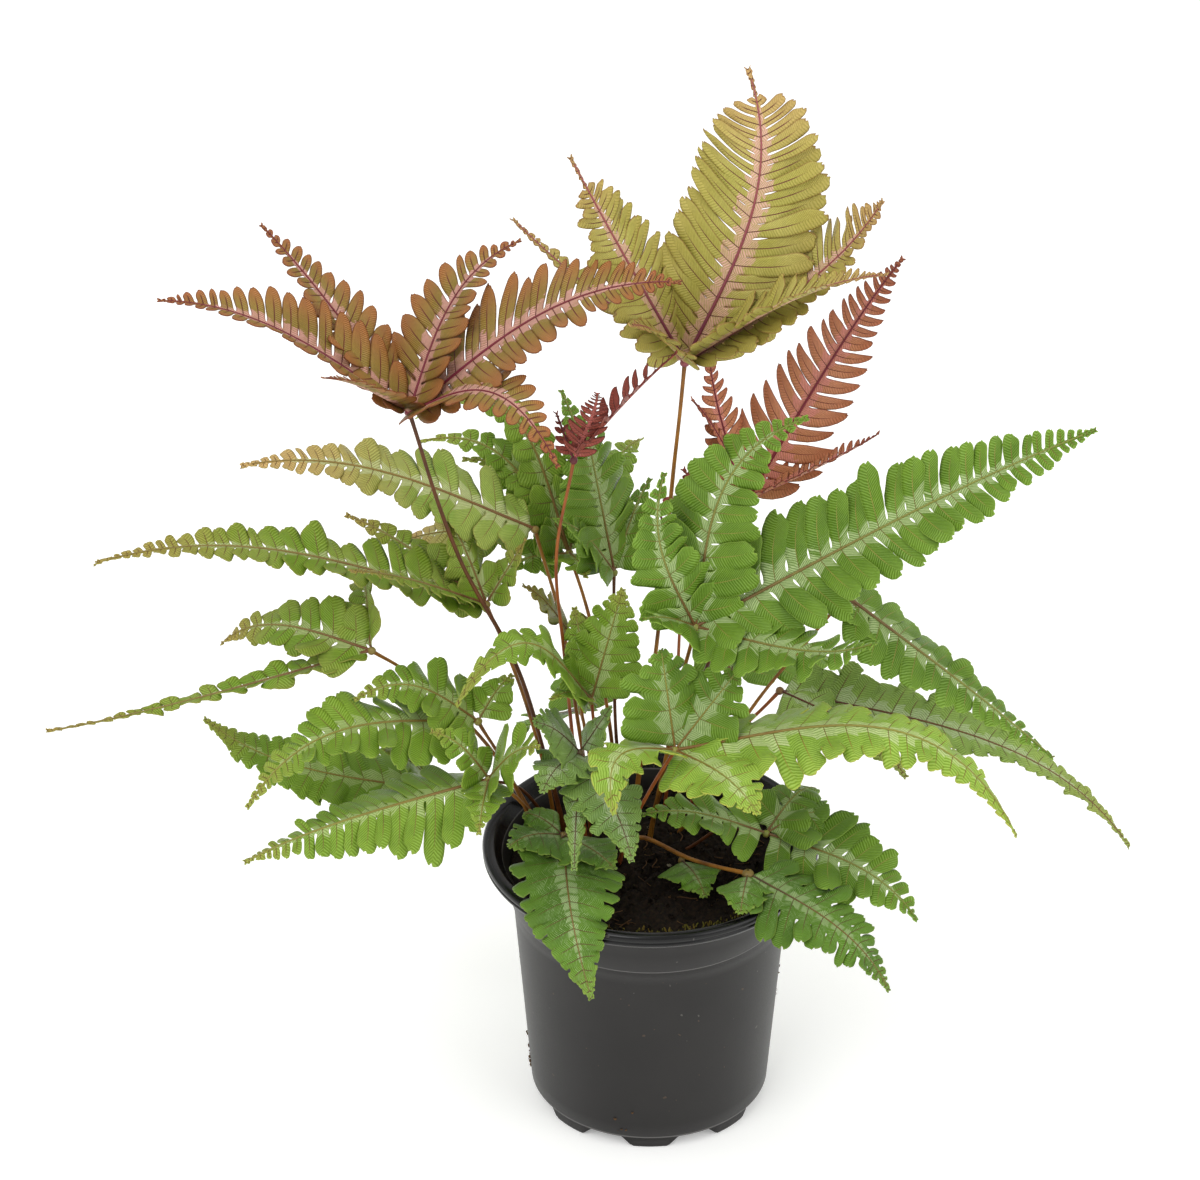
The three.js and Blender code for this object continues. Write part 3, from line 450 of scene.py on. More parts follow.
def lobes(piece, habit, length, hand, rng):
    """Lobes of one side of a pinna as grids, a row for each distance from the rib. Below the joined
    part the lobes share their edges. Above it a lobe's half width is that of its base times three
    factors: a gap that opens at once and closes again halfway, but stays open towards the pinna's tip,
    so that the lobes there are separate fingers; a taper; and the quarter superellipse
    (1 - s**round)**(1/round) from its shoulder to its end, where hook moves its middle to the tip's
    side and slant makes that side longer. All of it leans to the tip, and bends more further out,
    and its rows turn square to that.
    Returns for each point the place along the rib, the lean, the distance out, the lift, and three
    vectors that the finish reads: across the lobe, out along it and its reach; place, margin and
    chance; and the share of the half pitch, from -1 at one edge of the lobe to 1 at the other.
    To add nought times an array gives a value the shape of the grid."""
    # Where the lobes sit, and the chances of each
    count = max(3, round(length / habit["pitch"] * CROWDING / MEAN_CROWDING))
    first = NECK / length
    k = np.arange(count + 1)
    station = (first + (1 - first) * (1 - (1 - k / count) ** CROWDING)) * length
    station[1:-1] += rng.normal(0, JITTER, count - 1) * habit["pitch"]
    start, stop = station[:-1, None, None], station[1:, None, None]
    pitch = stop - start
    middle = 0.5 * (start + stop)
    chance, other, loose, bulge, sway = rng.random((5, count, 1, 1))
    short = 1 - SHORTER * (rng.random((count, 1, 1)) > STUNTED)
    reach = half_width(piece, middle / length) * (1.04 - habit["uneven"] * other) * short

    def wing_at(s):
        t = s / length
        tail = smooth(habit["tail"], 1.0, t)
        return half_width(piece, t) * (habit["joined"] + (TAIL_JOIN - habit["joined"]) * tail) + 0.3

    # The outline: p runs across a lobe, low up its joined part and q up its free part
    p = np.linspace(-1, 1, LOBE_COLUMNS + 1)[None, None, :]
    base = middle + 0.5 * p * pitch
    low = np.array(JOINED_ROWS)[None, :, None]
    q = np.array(FREE_ROWS)[None, :, None]
    edge = wing_at(base)
    free = np.maximum(reach - edge, 0.3)
    shoulder = np.clip((q - habit["shoulder"]) / (1 - habit["shoulder"]), 0, 0.975)
    ending = (1 - shoulder ** habit["round"]) ** (1 / habit["round"])
    fingers = smooth(*FINGERS, middle / length)
    closing = habit["closing"] * (0.75 + 0.4 * loose) * (loose > 0.1) * (1 - 0.9 * fingers)
    gap = habit["gap"] * (0.5 + bulge + 1.2 * fingers)
    gap = gap * (1 - np.exp(-q / GAP_ONSET)) * (1 - closing * smooth(*GAP_CLOSES, q))
    width = (1 - gap) * (1 - habit["taper"] * q) * (1 + 0.08 * (other - 0.5)) * ending
    teeth = habit["teeth"] * np.sin(9.5 * q + 5 * p + 40 * chance)
    width = width * (1 + teeth * smooth(0.3, 0.6, q))
    end_teeth = habit["teeth"] * (np.sin(4 * p + 60 * chance) - 1) * q**6
    end_teeth = end_teeth + (habit["slant"] + 0.06 * (sway - 0.5)) * p * q**3
    # Both parts laid on the blade, leaning and bent to the tip
    lean = habit["lean"] * (0.82 + 0.36 * bulge)
    level = 0 * edge * low
    across = np.concatenate([0.5 * pitch * p + level, 0.5 * pitch * p * width + 0 * free], axis=1)
    square = (lean + 2.6 * habit["bend"] * q**1.6) * smooth(0, 0.9, q)
    square = np.concatenate([level, 0.85 * square * np.minimum(1, reach / pitch) + 0 * free * p], axis=1)
    out = np.concatenate([edge * low, edge + free * (q + end_teeth)], axis=1) - square * across
    hook = habit["hook"] + 0.16 * (sway - 0.5)
    hooked = np.concatenate([level, 0.5 * pitch * hook * (1 - ending) + 0 * free * p], axis=1)
    shift = lean * out + habit["bend"] * reach * (out / reach) ** 2.6
    along = middle + across + hooked
    # The lift off the blade: each lobe's cup, twist and curl, and the blade's ripple, ruffle and droop
    fraction = np.minimum(out / reach, 1.05)
    twist = habit["tilt"] + rng.normal(0, 0.08, (count, 1, 1)) * habit["wave"]
    curl = rng.normal(-0.03, 0.06, (count, 1, 1)) * habit["wave"] * 2
    lift = -habit["cup"] * np.abs(across) * np.abs(p) * np.minimum(1, fraction * 2.5)
    lift = lift + (twist * across + curl * reach * fraction) * smooth(0.1, 0.8, fraction)
    ripple = np.sin(0.42 * along + 5 * chance[0, 0, 0] + hand)
    ruffle = np.sin(0.9 * along + 0.5 * out + 9 * chance) * smooth(0.4, 1, fraction)
    lift = lift + habit["wave"] * (0.35 * ripple * np.minimum(1, out / 5) + 0.22 * ruffle)
    lift = lift - habit["droop"] * reach * fraction**2
    # What the finish reads
    sinus = 0.5 * pitch * (1 - np.abs(p)) + edge * (1 - low) + 0.6
    side_margin = 0.5 * pitch * width * (1 - np.abs(p))
    margin = np.concatenate([sinus, np.minimum(side_margin, (1 - q) * free) + 0 * free], axis=1)
    lobe = np.stack([across, out * (1 + 0.5 * lean), reach + 0 * out], axis=-1)
    spot = np.stack([along / length, margin, chance + 0 * out], axis=-1)
    cell = np.stack([p + 0 * out, 0 * out, 0 * out], axis=-1)
    return along, shift, out, lift, lobe, spot, cell


def leaf(mesh, hub, piece, habit, rng, finish=0):
    """A pinna as a thin closed blade. Each side is the grids of its lobes, laid out from the rib's
    frame: along the side turned up by fold, and along the normal by the lift. Neighbouring lobes
    share the points of their joined edges, and both sides share the points on the rib. The sheet then
    gets two faces, half its thickness up and down the normals, and a wall round its edge."""
    length, frame = rib_of(hub, piece)
    habit = dict(habit, **piece["more"])
    fold = math.radians(piece["fold"])
    joined = len(JOINED_ROWS)
    points, quads, corners = [], [], []
    marks = {key: [] for key in MARKS}
    total = 0
    for hand in (-1, 1):
        along, shift, out, lift, *found = lobes(piece, habit, length, hand, rng)
        at, tangent, side, normal = frame(along / length)
        place = at + shift[..., None] * tangent + (hand * out * math.cos(fold))[..., None] * side
        place += (out * math.sin(fold) + lift)[..., None] * normal
        own = total + np.arange(out.size).reshape(out.shape)
        shared = own.copy()
        shared[1:, :joined, 0] = shared[:-1, :joined, -1]
        if hand > 0:
            shared[:, 0] = rib_row
        rib_row = shared[:, 0]
        cells = grid_faces(own)
        if hand < 0:
            cells = cells[:, ::-1]
        corners.append(cells)
        quads.append(shared.ravel()[cells - total])
        points.append(place.reshape(-1, 3))
        for key, value in zip(MARKS, found):
            marks[key].append(value.reshape(-1, 3))
        total += out.size
    # One sheet, with the shared points merged
    points, corner = np.vstack(points), np.vstack(corners)
    used, quads = np.unique(np.vstack(quads), return_inverse=True)
    quads = quads.reshape(-1, 4)
    points = points[used]
    a, b, c, d = (points[quads[:, i]] for i in range(4))
    face_normal = np.cross(c - a, d - b)
    normal = np.zeros_like(points)
    for i in range(4):
        np.add.at(normal, quads[:, i], face_normal)
    half = 0.5 * LEAF_THICKNESS * unit(normal + 1e-9)
    # The wall stands on the edges that only one face has
    count = len(points)
    edges = np.stack([quads, np.roll(quads, -1, axis=1)], axis=-1).reshape(-1, 2)
    edge_corner = np.stack([corner, np.roll(corner, -1, axis=1)], axis=-1).reshape(-1, 2)
    ends = np.sort(edges, axis=1)
    label = ends[:, 0] * count + ends[:, 1]
    _, inverse, number = np.unique(label, return_inverse=True, return_counts=True)
    rim = number[inverse.ravel()] == 1
    edges, edge_corner = edges[rim], edge_corner[rim]
    wall = np.stack([edges[:, 1], edges[:, 0], edges[:, 0] + count, edges[:, 1] + count], axis=1)
    wall_corner = edge_corner[:, [1, 0, 0, 1]]
    faces = np.vstack([quads, quads[:, ::-1] + count, wall])
    corner = np.vstack([corner, corner[:, ::-1], wall_corner])
    marks = {key: np.vstack(value)[corner] for key, value in marks.items()}
    mesh.add(np.vstack([points + half, points - half]), faces, marks, finish)


def rib(mesh, hub, piece, radius):
    """The rib of a pinna: a tube that tapers from the hub to the tip, a little above the blade."""
    length, frame = rib_of(hub, piece)
    t = np.linspace(0, 0.97, max(8, round(length / 2.5)))
    at, _, _, normal = frame(t)
    radii = radius * min(1, 0.55 + length / 250) * (1 - 0.7 * t**0.9)
    tube(mesh, at + RIB_RISE * normal, radii, sides=6, finish=1)


# Stems

THICKEST_STEM = 1.25


def soil_height(x, y):
    """The soil's surface: level at the wall, a little higher at the crown, with low lumps."""
    reach = np.hypot(x, y) / RIM_THROAT
    lumps = np.sin(0.31 * x + 1) * np.sin(0.37 * y) + 0.6 * np.sin(0.9 * x - 0.7 * y)
    return SOIL_LEVEL + SOIL_CROWN * (1 - reach * reach) + SOIL_RELIEF * lumps * (1 - reach)


def stem_path(plant, count):
    """Up from the foot of its hole in the soil, through the points it passes, to the hub."""
    hub = np.array(plant["hub"], float)
    x, y = plant["root"]
    soil = np.array((x, y, soil_height(x, y)))
    points = [soil] + [np.array(v, float) for v in plant["via"]] + [hub]
    rise = unit(points[1] - soil)
    foot = soil - rise * HOLE_DEPTH / rise[2]
    return catmull([foot] + points, count)


def stem(mesh, plant, rng):
    """A wiry stem: a tube that is thickest at the soil, thins to the hub, is slightly uneven and bent,
    and swells at the top."""
    x, y = plant["root"]
    rough = np.linalg.norm(np.array(plant["hub"], float) - (x, y, SOIL_LEVEL))
    path = stem_path(plant, max(12, round(rough / 3)))
    t = np.linspace(0, 1, len(path))
    sway = np.sin(t[:, None] * (9, 7, 0) + rng.random(3) * 6) * 0.35
    path = path + sway * (smooth(0.1, 0.3, t) * (1 - smooth(0.8, 1, t)))[:, None]
    radii = min(plant["radius"], THICKEST_STEM) * (0.7 - 0.14 * t + 0.3 * smooth(0.2, 0, t))
    radii = radii * (1 + 0.04 * np.sin(31 * t + 3))
    radii[-1] *= 1.25
    radii[-2] *= 1.1
    tube(mesh, path, radii, sides=10)


# Pot

POT_SIDES = 256


def pot_mesh():
    """The pot as one closed surface of revolution. Its profile runs from the middle of the base out
    along the table, up the foot, wall, collar and rolled rim, down the inner wall and back to the
    middle. Under the base, channels widen towards the table: there the outline is lifted to the
    height of the channel's roof, with sloping sides."""
    outer = RIM_RADIUS - BEAD_RADIUS
    foot = WALL_FOOT[0] - FOOT_INSET
    bead = [(outer + BEAD_RADIUS * math.cos(a), POT_HEIGHT - BEAD_RADIUS + BEAD_RADIUS * math.sin(a))
            for a in np.radians((-40, -20, 0, 20, 40, 60, 80, 95))]
    low = [(0, 0), (18, 0), (CHANNEL_INNER, 0), (CHANNEL_INNER + 1, 0), (34, 0),
           (foot - 0.8, 0), (foot - 0.2, 0.25), (foot, 0.9), (foot, WALL_FOOT[1] - 0.7)]
    high = [(WALL_FOOT[0] - 0.35, WALL_FOOT[1] - 0.45), WALL_FOOT]
    wall = [tuple(place) for place in np.linspace(WALL_FOOT, WALL_TOP, 14)[1:]]
    collar = [(COLLAR_FOOT[0] - 0.25, COLLAR_FOOT[1] - 0.42), COLLAR_FOOT, (51.2, 91),
              (COLLAR_TOP[0] - 0.1, COLLAR_TOP[1] - 0.8), (COLLAR_TOP[0] + 0.6, COLLAR_TOP[1] + 0.3),
              (outer - 0.6, RIM_FOOT - 0.7), (outer + 0.9, RIM_FOOT - 0.5), (RIM_RADIUS - 0.6, RIM_FOOT),
              (RIM_RADIUS - 0.25, RIM_FOOT + 0.6), (RIM_RADIUS - 0.1, RIM_FOOT + 1.6)]
    inside = [(RIM_THROAT + 1.6, POT_HEIGHT - 0.3), (RIM_THROAT + 0.7, POT_HEIGHT - 0.9),
              (RIM_THROAT, POT_HEIGHT - 2.2), (53.2, 101.5), (50.9, 98), (49.6, 90),
              (41.3, BASE_THICKNESS), (0, BASE_THICKNESS)]
    profile = np.array(low + high + wall + collar + bead + inside)
    sides = POT_SIDES
    angle = ring_angles(sides)
    radius = np.repeat(profile[:, :1], sides, axis=1)
    height = np.repeat(profile[:, 1:], sides, axis=1)
    step = 2 * math.pi / CHANNELS
    off = (angle - math.pi / 2) % step - step / 2
    across = radius * np.abs(np.sin(off))[None]
    slope = (CHANNEL_MOUTH - CHANNEL_TOP) / 2
    roof = CHANNEL_DEPTH * np.clip((CHANNEL_MOUTH / 2 - across) / slope, 0, 1)
    roof = roof * smooth(CHANNEL_INNER - 0.5, CHANNEL_INNER + 0.5, radius)
    rows = np.arange(len(profile)) < len(low)
    height = np.where(rows[:, None], np.maximum(height, roof), height)
    points = np.stack([radius * np.cos(angle), radius * np.sin(angle), height], axis=-1)
    mesh = Mesh()
    mesh.add(points, ring_faces(points))
    return mesh


# Soil

# Crumbs on the soil: their size, number and material
CRUMBS = ((0.5, 260, 0), (0.9, 160, 0), (1.5, 46, 0), (0.55, 60, 1), (0.7, 12, 2))
FIBRES = 70
MOSS_STALKS = 420
MOSS_FRONT = (278, 24)  # the direction where the moss is thickest, and its spread
# Crumbs on the wall: their direction, height, number and spread of heights
WALL_CRUMBS = ((184, 12, 16, 3.0), (181, 19, 9, 3.0), (-4, 60, 4, 14.0), (258, 12, 5, 4.0),
               (176, 52, 4, 14.0))


def soil_waves(rng):
    """The soil's fine lumps: waves of several sizes and directions, each bent by a slower one."""
    waves = []
    for size, strength in ((9, 0.25), (5, 0.2), (2.7, 0.15), (1.6, 0.11), (1.0, 0.075)):
        for _ in range(4):
            turn, phase = rng.random(2) * 2 * math.pi
            waves.append((2 * math.pi / size, strength, math.cos(turn), math.sin(turn), phase))

    def top(x, y):
        height = soil_height(x, y) - 0.6
        for pace, strength, east, north, phase in waves:
            wave = pace * (x * east + y * north) + phase
            height = height + strength * np.sin(wave + 1.5 * np.sin(0.3 * wave))
        return height

    return top


def soil_mesh(top):
    """The potting mix: a closed disc whose top is the soil's surface, a skirt down the wall, and a flat
    underside out of sight."""
    rings, sides = 90, 220
    radius = SOIL_EDGE * np.linspace(0, 1, rings + 1) ** 0.8
    angle = ring_angles(sides)
    x = radius[:, None] * np.cos(angle)
    y = radius[:, None] * np.sin(angle)
    points = np.stack([x, y, top(x, y)], axis=-1)
    under = [np.stack([r * np.cos(angle), r * np.sin(angle), z + 0 * angle], axis=-1)[None]
             for r, z in SKIRT]
    points = np.concatenate([points] + under)
    mesh = Mesh()
    mesh.add(points, ring_faces(points)[:, ::-1])
    return mesh


def lump(mesh, place, size, rng, finish=0):
    """A crumb: a ball of five rows with six points in each, every point moved in or out at random,
    flattened and turned."""
    rise = np.linspace(0, math.pi, 5)[:, None]
    angle = ring_angles(6)[None] + rng.random() * 6
    level = np.cos(rise) + 0 * angle
    shape = np.stack([np.sin(rise) * np.cos(angle), np.sin(rise) * np.sin(angle), level], axis=-1)
    shape = shape * (0.7 + 0.6 * rng.random(shape.shape[:2]))[..., None] * size
    shape = shape * (1, 0.6 + 0.4 * rng.random(), 0.5 + 0.3 * rng.random())
    shape[0], shape[-1] = shape[0, 0], shape[-1, 0]
    turn, lay = rng.random(2) * 6
    east, north = math.cos(turn), math.sin(turn)
    spin = np.array([[east, -north, 0], [north, east, 0], [0, 0, 1]])
    tip = np.array([[1, 0, 0], [0, math.cos(lay), -math.sin(lay)], [0, math.sin(lay), math.cos(lay)]])
    points = shape @ tip.T @ spin.T + np.asarray(place)
    mesh.add(points, ring_faces(points)[:, ::-1], finish=finish)


def litter(top, rng):
    """What lies on the soil: dark crumbs all over it, some pale ones, short bent fibres, and moss
    along the front, as tufts of short stalks."""
    crumbs, moss = Mesh(), Mesh()

    def spot(inner, outer, angle=None):
        radius = outer * math.sqrt(rng.uniform((inner / outer) ** 2, 1))
        angle = rng.random() * 2 * math.pi if angle is None else angle
        x, y = radius * math.cos(angle), radius * math.sin(angle)
        return x, y, float(top(x, y))

    for size, count, finish in CRUMBS:
        for _ in range(count):
            x, y, z = spot(0, 49.0)
            own = size * rng.uniform(0.7, 1.4)
            lump(crumbs, (x, y, z + 0.3 * own), own, rng, finish)
    for _ in range(FIBRES):
        x, y, z = spot(0, 46.0)
        turn = rng.random() * 6
        step = np.linspace(-1, 1, 7)[:, None] * rng.uniform(1.5, 4.5)
        path = np.array((x, y, z + 0.5)) + step * (math.cos(turn), math.sin(turn), 0)
        path = path + 0.5 * np.sin(step + turn) * (math.sin(turn), math.cos(turn), 0.3)
        tube(crumbs, path, np.full(7, rng.uniform(0.12, 0.28)), sides=4, finish=1)
    for _ in range(MOSS_STALKS):
        angle = math.radians(rng.normal(*MOSS_FRONT))
        x, y, z = spot(41, 49.3, angle)
        tall = rng.uniform(0.6, 1.6)
        lean = rng.normal(0, 0.35, 2) * tall
        path = np.array([(x, y, z - 0.3), (x + 0.4 * lean[0], y + 0.4 * lean[1], z + 0.6 * tall),
                         (x + lean[0], y + lean[1], z + tall)])
        tube(moss, path, (0.3, 0.34, 0.16), sides=4)
    return crumbs, moss


def wall_dirt(rng):
    """Crumbs of mix that stick to the outside of the pot, low on the left and under the rim."""
    mesh = Mesh()
    for angle, height, count, spread in WALL_CRUMBS:
        for _ in range(count):
            turn = math.radians(angle + rng.normal(0, 2.2))
            z = height + rng.normal(0, spread)
            z = min(max(z, WALL_FOOT[1] + 1.5), WALL_TOP[1] - 2.9)
            up = (z - WALL_FOOT[1]) / (WALL_TOP[1] - WALL_FOOT[1])
            radius = WALL_FOOT[0] + (WALL_TOP[0] - WALL_FOOT[0]) * up
            size = rng.uniform(0.25, 0.75)
            place = np.array((math.cos(turn), math.sin(turn), 0)) * (radius + 0.25 * size) + (0, 0, z)
            lump(mesh, place, size, rng)
    return mesh


# Materials

def colour(code):
    """A linear colour from a web colour."""
    parts = [int(code[i:i + 2], 16) / 255 for i in (1, 3, 5)]
    return tuple(c / 12.92 if c <= 0.04045 else ((c + 0.055) / 1.055) ** 2.4 for c in parts) + (1.0,)


class Tree:
    """Short calls for making and joining nodes."""

    def __init__(self, tree):
        self.tree = tree

    def node(self, kind, inputs=None, **settings):
        node = self.tree.nodes.new(kind)
        for key, value in settings.items():
            setattr(node, key, value)
        for key, value in (inputs or {}).items():
            self.put(value, node.inputs[key])
        return node

    def put(self, value, socket):
        if isinstance(value, bpy.types.NodeSocket):
            self.tree.links.new(value, socket)
        else:
            socket.default_value = value

    def math(self, operation, *values):
        node = self.node("ShaderNodeMath", operation=operation)
        for value, socket in zip(values, node.inputs):
            self.put(value, socket)
        return node.outputs[0]

    def times(self, a, b):
        return self.math("MULTIPLY", a, b)

    def minus(self, a, b):
        return self.math("SUBTRACT", a, b)

    def line(self, value, slope, start):
        """value times slope, plus start."""
        return self.math("MULTIPLY_ADD", value, slope, start)

    def ramp(self, value, low, high):
        """0 at low and below, 1 at high and above, smooth between."""
        node = self.node("ShaderNodeMapRange", {"Value": value, "From Min": low, "From Max": high},
                         interpolation_type="SMOOTHSTEP")
        return node.outputs[0]

    def mix(self, amount, a, b, blend="MIX"):
        node = self.node("ShaderNodeMix", data_type="RGBA", blend_type=blend)
        for value, socket in ((amount, node.inputs[0]), (a, node.inputs[6]), (b, node.inputs[7])):
            self.put(value, socket)
        return node.outputs[2]

    def noise(self, place, scale, detail=2.0):
        inputs = {"Vector": place, "Scale": scale, "Detail": detail, "Roughness": 0.5}
        return self.node("ShaderNodeTexNoise", inputs).outputs[0]

    def bump(self, height, strength, depth):
        """The normal on a relief whose full height is depth, in millimetres."""
        inputs = {"Height": height, "Strength": strength, "Distance": depth * MM}
        return self.node("ShaderNodeBump", inputs).outputs[0]


def group(name, inputs, outputs):
    """A shader node group with named inputs and outputs. Returns its tree, the sockets that its nodes
    get values from and the sockets that they put results in."""
    tree = bpy.data.node_groups.new(name, "ShaderNodeTree")
    for key, (kind, value) in inputs.items():
        socket = tree.interface.new_socket(key, in_out="INPUT", socket_type="NodeSocket" + kind)
        socket.default_value = value
    for key, kind in outputs.items():
        tree.interface.new_socket(key, in_out="OUTPUT", socket_type="NodeSocket" + kind)
    into = tree.nodes.new("NodeGroupInput")
    out = tree.nodes.new("NodeGroupOutput")
    return Tree(tree), into.outputs, out.inputs


WHITE = (1.0, 1.0, 1.0, 1.0)

# What a look may set: how far out the pale stripe reaches as a share of the lobe, how much that varies
# between lobes, how ragged the stripe is and how it widens away from the lobe's middle; how far the
# strips turn lengthwise; the slope and pitch of the side veins, and the strength of the painted shade in
# their creases and of the painted highlight between them; pale streaks beyond the stripe, partly painted
# highlight; how far it fades between the lobes; where the tint of a lobe's end starts and its strength,
# and the same for the pinna's end; how mottled the blade is; and half the width of the middle vein
LEAF_NUMBERS = {
    "Stripe": 0.24, "Spread": 0.6, "Rag": 2.0, "Slope": 0.8, "Lengthwise": 0.0, "Vein Slope": 0.8,
    "Vein Pitch": 1.0, "Vein Shade And Highlight": 0.7, "Streaks": 0.0, "Sinus": 0.0, "Tip Start": 0.5,
    "Tip Strength": 0.3, "Far Start": 0.8, "Far Strength": 0.0, "Mottle": 0.3, "Line": 0.2,
}
LEAF_TINTS = ("Blade", "Second", "Pale", "Tip", "Far", "Vein", "Margin")
VEIN_SHADOW = (0.0, 0.01, 0.0, 1.0)
VEIN_ROOT = (0.09, 0.04, 0.02, 1.0)
LONG_LOBE = 20.0  # the reach from which the stripe's edge is as ragged as its look says


def leaf_pattern():
    """The colour and relief of a blade. Lengths across, out along and round a lobe are in millimetres.
    Side veins run out and forward from the lobe's middle vein and cut the blade into strips. Each half
    of a lobe is pale out to its own distance from the rib, and each strip of it ends a little
    before or after that, which gives the pale stripe its feathered edge; the ends of the lobes, the
    end of the pinna and the margins are tinted."""
    inputs = {key: ("Color", WHITE) for key in LEAF_TINTS}
    inputs.update({key: ("Float", value) for key, value in LEAF_NUMBERS.items()})
    outputs = {"Color": "Color", "Height": "Float", "Gloss": "Float"}
    t, get, put = group("leaf pattern", inputs, outputs)

    def mark(key):
        vector = t.node("ShaderNodeAttribute", attribute_name=key).outputs["Vector"]
        return t.node("ShaderNodeSeparateXYZ", {0: vector}).outputs

    def luck_of(*values):
        vector = t.node("ShaderNodeCombineXYZ", dict(zip("XYZ", values))).outputs[0]
        noise = t.node("ShaderNodeTexWhiteNoise", {"Vector": vector}, noise_dimensions="3D")
        return noise.outputs["Value"]

    across, out, reach = mark("lobe")
    far, margin, chance = mark("spot")
    share = t.math("ABSOLUTE", mark("cell")[0])
    side = t.math("ABSOLUTE", across)
    hand = t.math("SIGN", across)
    seed = t.times(chance, 40.0)
    where = t.node("ShaderNodeTexCoord").outputs["Object"]
    broad = t.noise(where, 55.0)
    fine = t.noise(where, 1100.0)
    patchy = t.noise(where, 330.0)
    # Side veins, and the strips between them
    vein_line = t.minus(out, t.times(side, get["Vein Slope"]))
    count = t.line(patchy, 1.2, t.math("DIVIDE", vein_line, get["Vein Pitch"]))
    ridge = t.line(t.math("COSINE", t.times(count, 2 * math.pi)), 0.5, 0.5)
    crease = t.math("POWER", ridge, 2.5)
    lengthwise = t.line(patchy, 1.2, t.math("DIVIDE", side, 0.5))
    strip = t.math("FLOOR", t.line(t.minus(lengthwise, count), get["Lengthwise"], count))
    luck = luck_of(strip, hand, seed)
    half_luck = luck_of(7.0, hand, seed)
    # Ground colours
    base = t.mix(t.ramp(broad, 0.35, 0.65), get["Blade"], get["Second"])
    ending = t.math("DIVIDE", out, t.math("MAXIMUM", reach, 1.0))
    tip = t.times(t.ramp(ending, get["Tip Start"], 1.15), get["Tip Strength"])
    base = t.mix(tip, base, get["Tip"])
    away = t.times(t.ramp(far, get["Far Start"], 1.0), get["Far Strength"])
    base = t.mix(away, base, get["Far"])
    # Painted shade darkens the creases of the side veins, and a painted highlight lightens the raised
    # strips between them
    shade = t.mix(0.7, base, VEIN_SHADOW)
    painted_highlight = t.mix(0.3, base, get["Pale"])
    drawn = t.times(t.line(patchy, 0.9, 0.3), get["Vein Shade And Highlight"])
    base = t.mix(t.times(crease, drawn), base, shade)
    base = t.mix(t.times(t.ramp(ridge, 0.4, 0.05), drawn), base, painted_highlight)
    # Pale stripe: as far out as its limit, between the lobes less so, and with streaks beyond it that
    # are pale and partly painted highlight
    spread = t.line(t.minus(half_luck, 0.5), t.times(get["Spread"], 2.0), 1.0)
    limit = t.times(t.times(get["Stripe"], reach), spread)
    size = t.ramp(reach, 0.0, LONG_LOBE)
    rag = t.times(get["Rag"], size)
    limit = t.line(rag, t.minus(t.math("POWER", luck, 1.6), 0.35), limit)
    limit = t.times(limit, t.ramp(far, 1.0, 0.7))
    rise = t.times(t.times(side, get["Slope"]), size)
    depth = t.minus(limit, t.minus(out, rise))
    pale = t.times(t.ramp(depth, -0.1, 0.25), t.line(t.ramp(patchy, 0.3, 0.55), 0.3, 0.7))
    gap = t.times(t.ramp(share, 0.72, 0.95), get["Sinus"])
    pale = t.times(pale, t.minus(1.0, gap))
    # Streaks on the raised strips between the side veins: pale in colour, and partly a painted highlight
    streak_and_highlight = t.times(t.ramp(ridge, 0.5, 0.15), t.ramp(ending, 0.9, 0.5))
    streak_and_highlight = t.times(t.times(streak_and_highlight, get["Streaks"]), t.ramp(luck, 0.1, 0.8))
    streak_and_highlight = t.times(t.times(streak_and_highlight, t.ramp(fine, 0.3, 0.6)), t.ramp(margin, 0.3, 1.2))
    pale = t.math("MAXIMUM", t.times(pale, t.line(crease, -0.75, 0.95)), streak_and_highlight)
    base = t.mix(pale, base, get["Pale"])
    # Margin, and the middle vein, which is darkest near the rib
    edge = t.ramp(margin, 0.45, 0.05)
    base = t.mix(t.times(edge, 0.6), base, get["Margin"])
    line = t.ramp(side, get["Line"], t.times(get["Line"], 0.35))
    line = t.times(line, t.ramp(ending, 1.0, 0.6))
    root = t.times(t.ramp(out, 10.0, 2.0), 0.6)
    base = t.mix(t.times(line, 0.95), base, t.mix(root, get["Vein"], VEIN_ROOT))
    speckle = t.line(t.minus(fine, 0.5), get["Mottle"], 1.0)
    speckle = t.node("ShaderNodeCombineColor", {0: speckle, 1: speckle, 2: speckle}).outputs[0]
    t.put(t.mix(1.0, base, speckle, "MULTIPLY"), put["Color"])
    # Relief and gloss
    height = t.line(crease, -0.6, t.times(fine, 0.5))
    height = t.line(patchy, 1.2, height)
    t.put(t.minus(height, line), put["Height"])
    t.put(t.line(fine, 0.35, 0.22), put["Gloss"])
    return t.tree


def new_material(name, specular):
    """A material's tree and the shader's inputs."""
    material = bpy.data.materials.new(name)
    material.use_nodes = True
    into = material.node_tree.nodes["Principled BSDF"].inputs
    into["Specular IOR Level"].default_value = specular
    return material, Tree(material.node_tree), into


def leaf_material(name, pattern, tints, numbers):
    """A blade in one look: the leaf pattern with the look's own colours and numbers."""
    material, t, into = new_material(name, 0.2)
    look = t.node("ShaderNodeGroup", node_tree=pattern)
    for key, value in tints.items():
        look.inputs[key].default_value = colour(value)
    for key, value in numbers.items():
        look.inputs[key].default_value = value
    t.put(look.outputs["Color"], into["Base Color"])
    t.put(look.outputs["Gloss"], into["Roughness"])
    t.put(t.bump(look.outputs["Height"], 0.6, 0.4), into["Normal"])
    return material


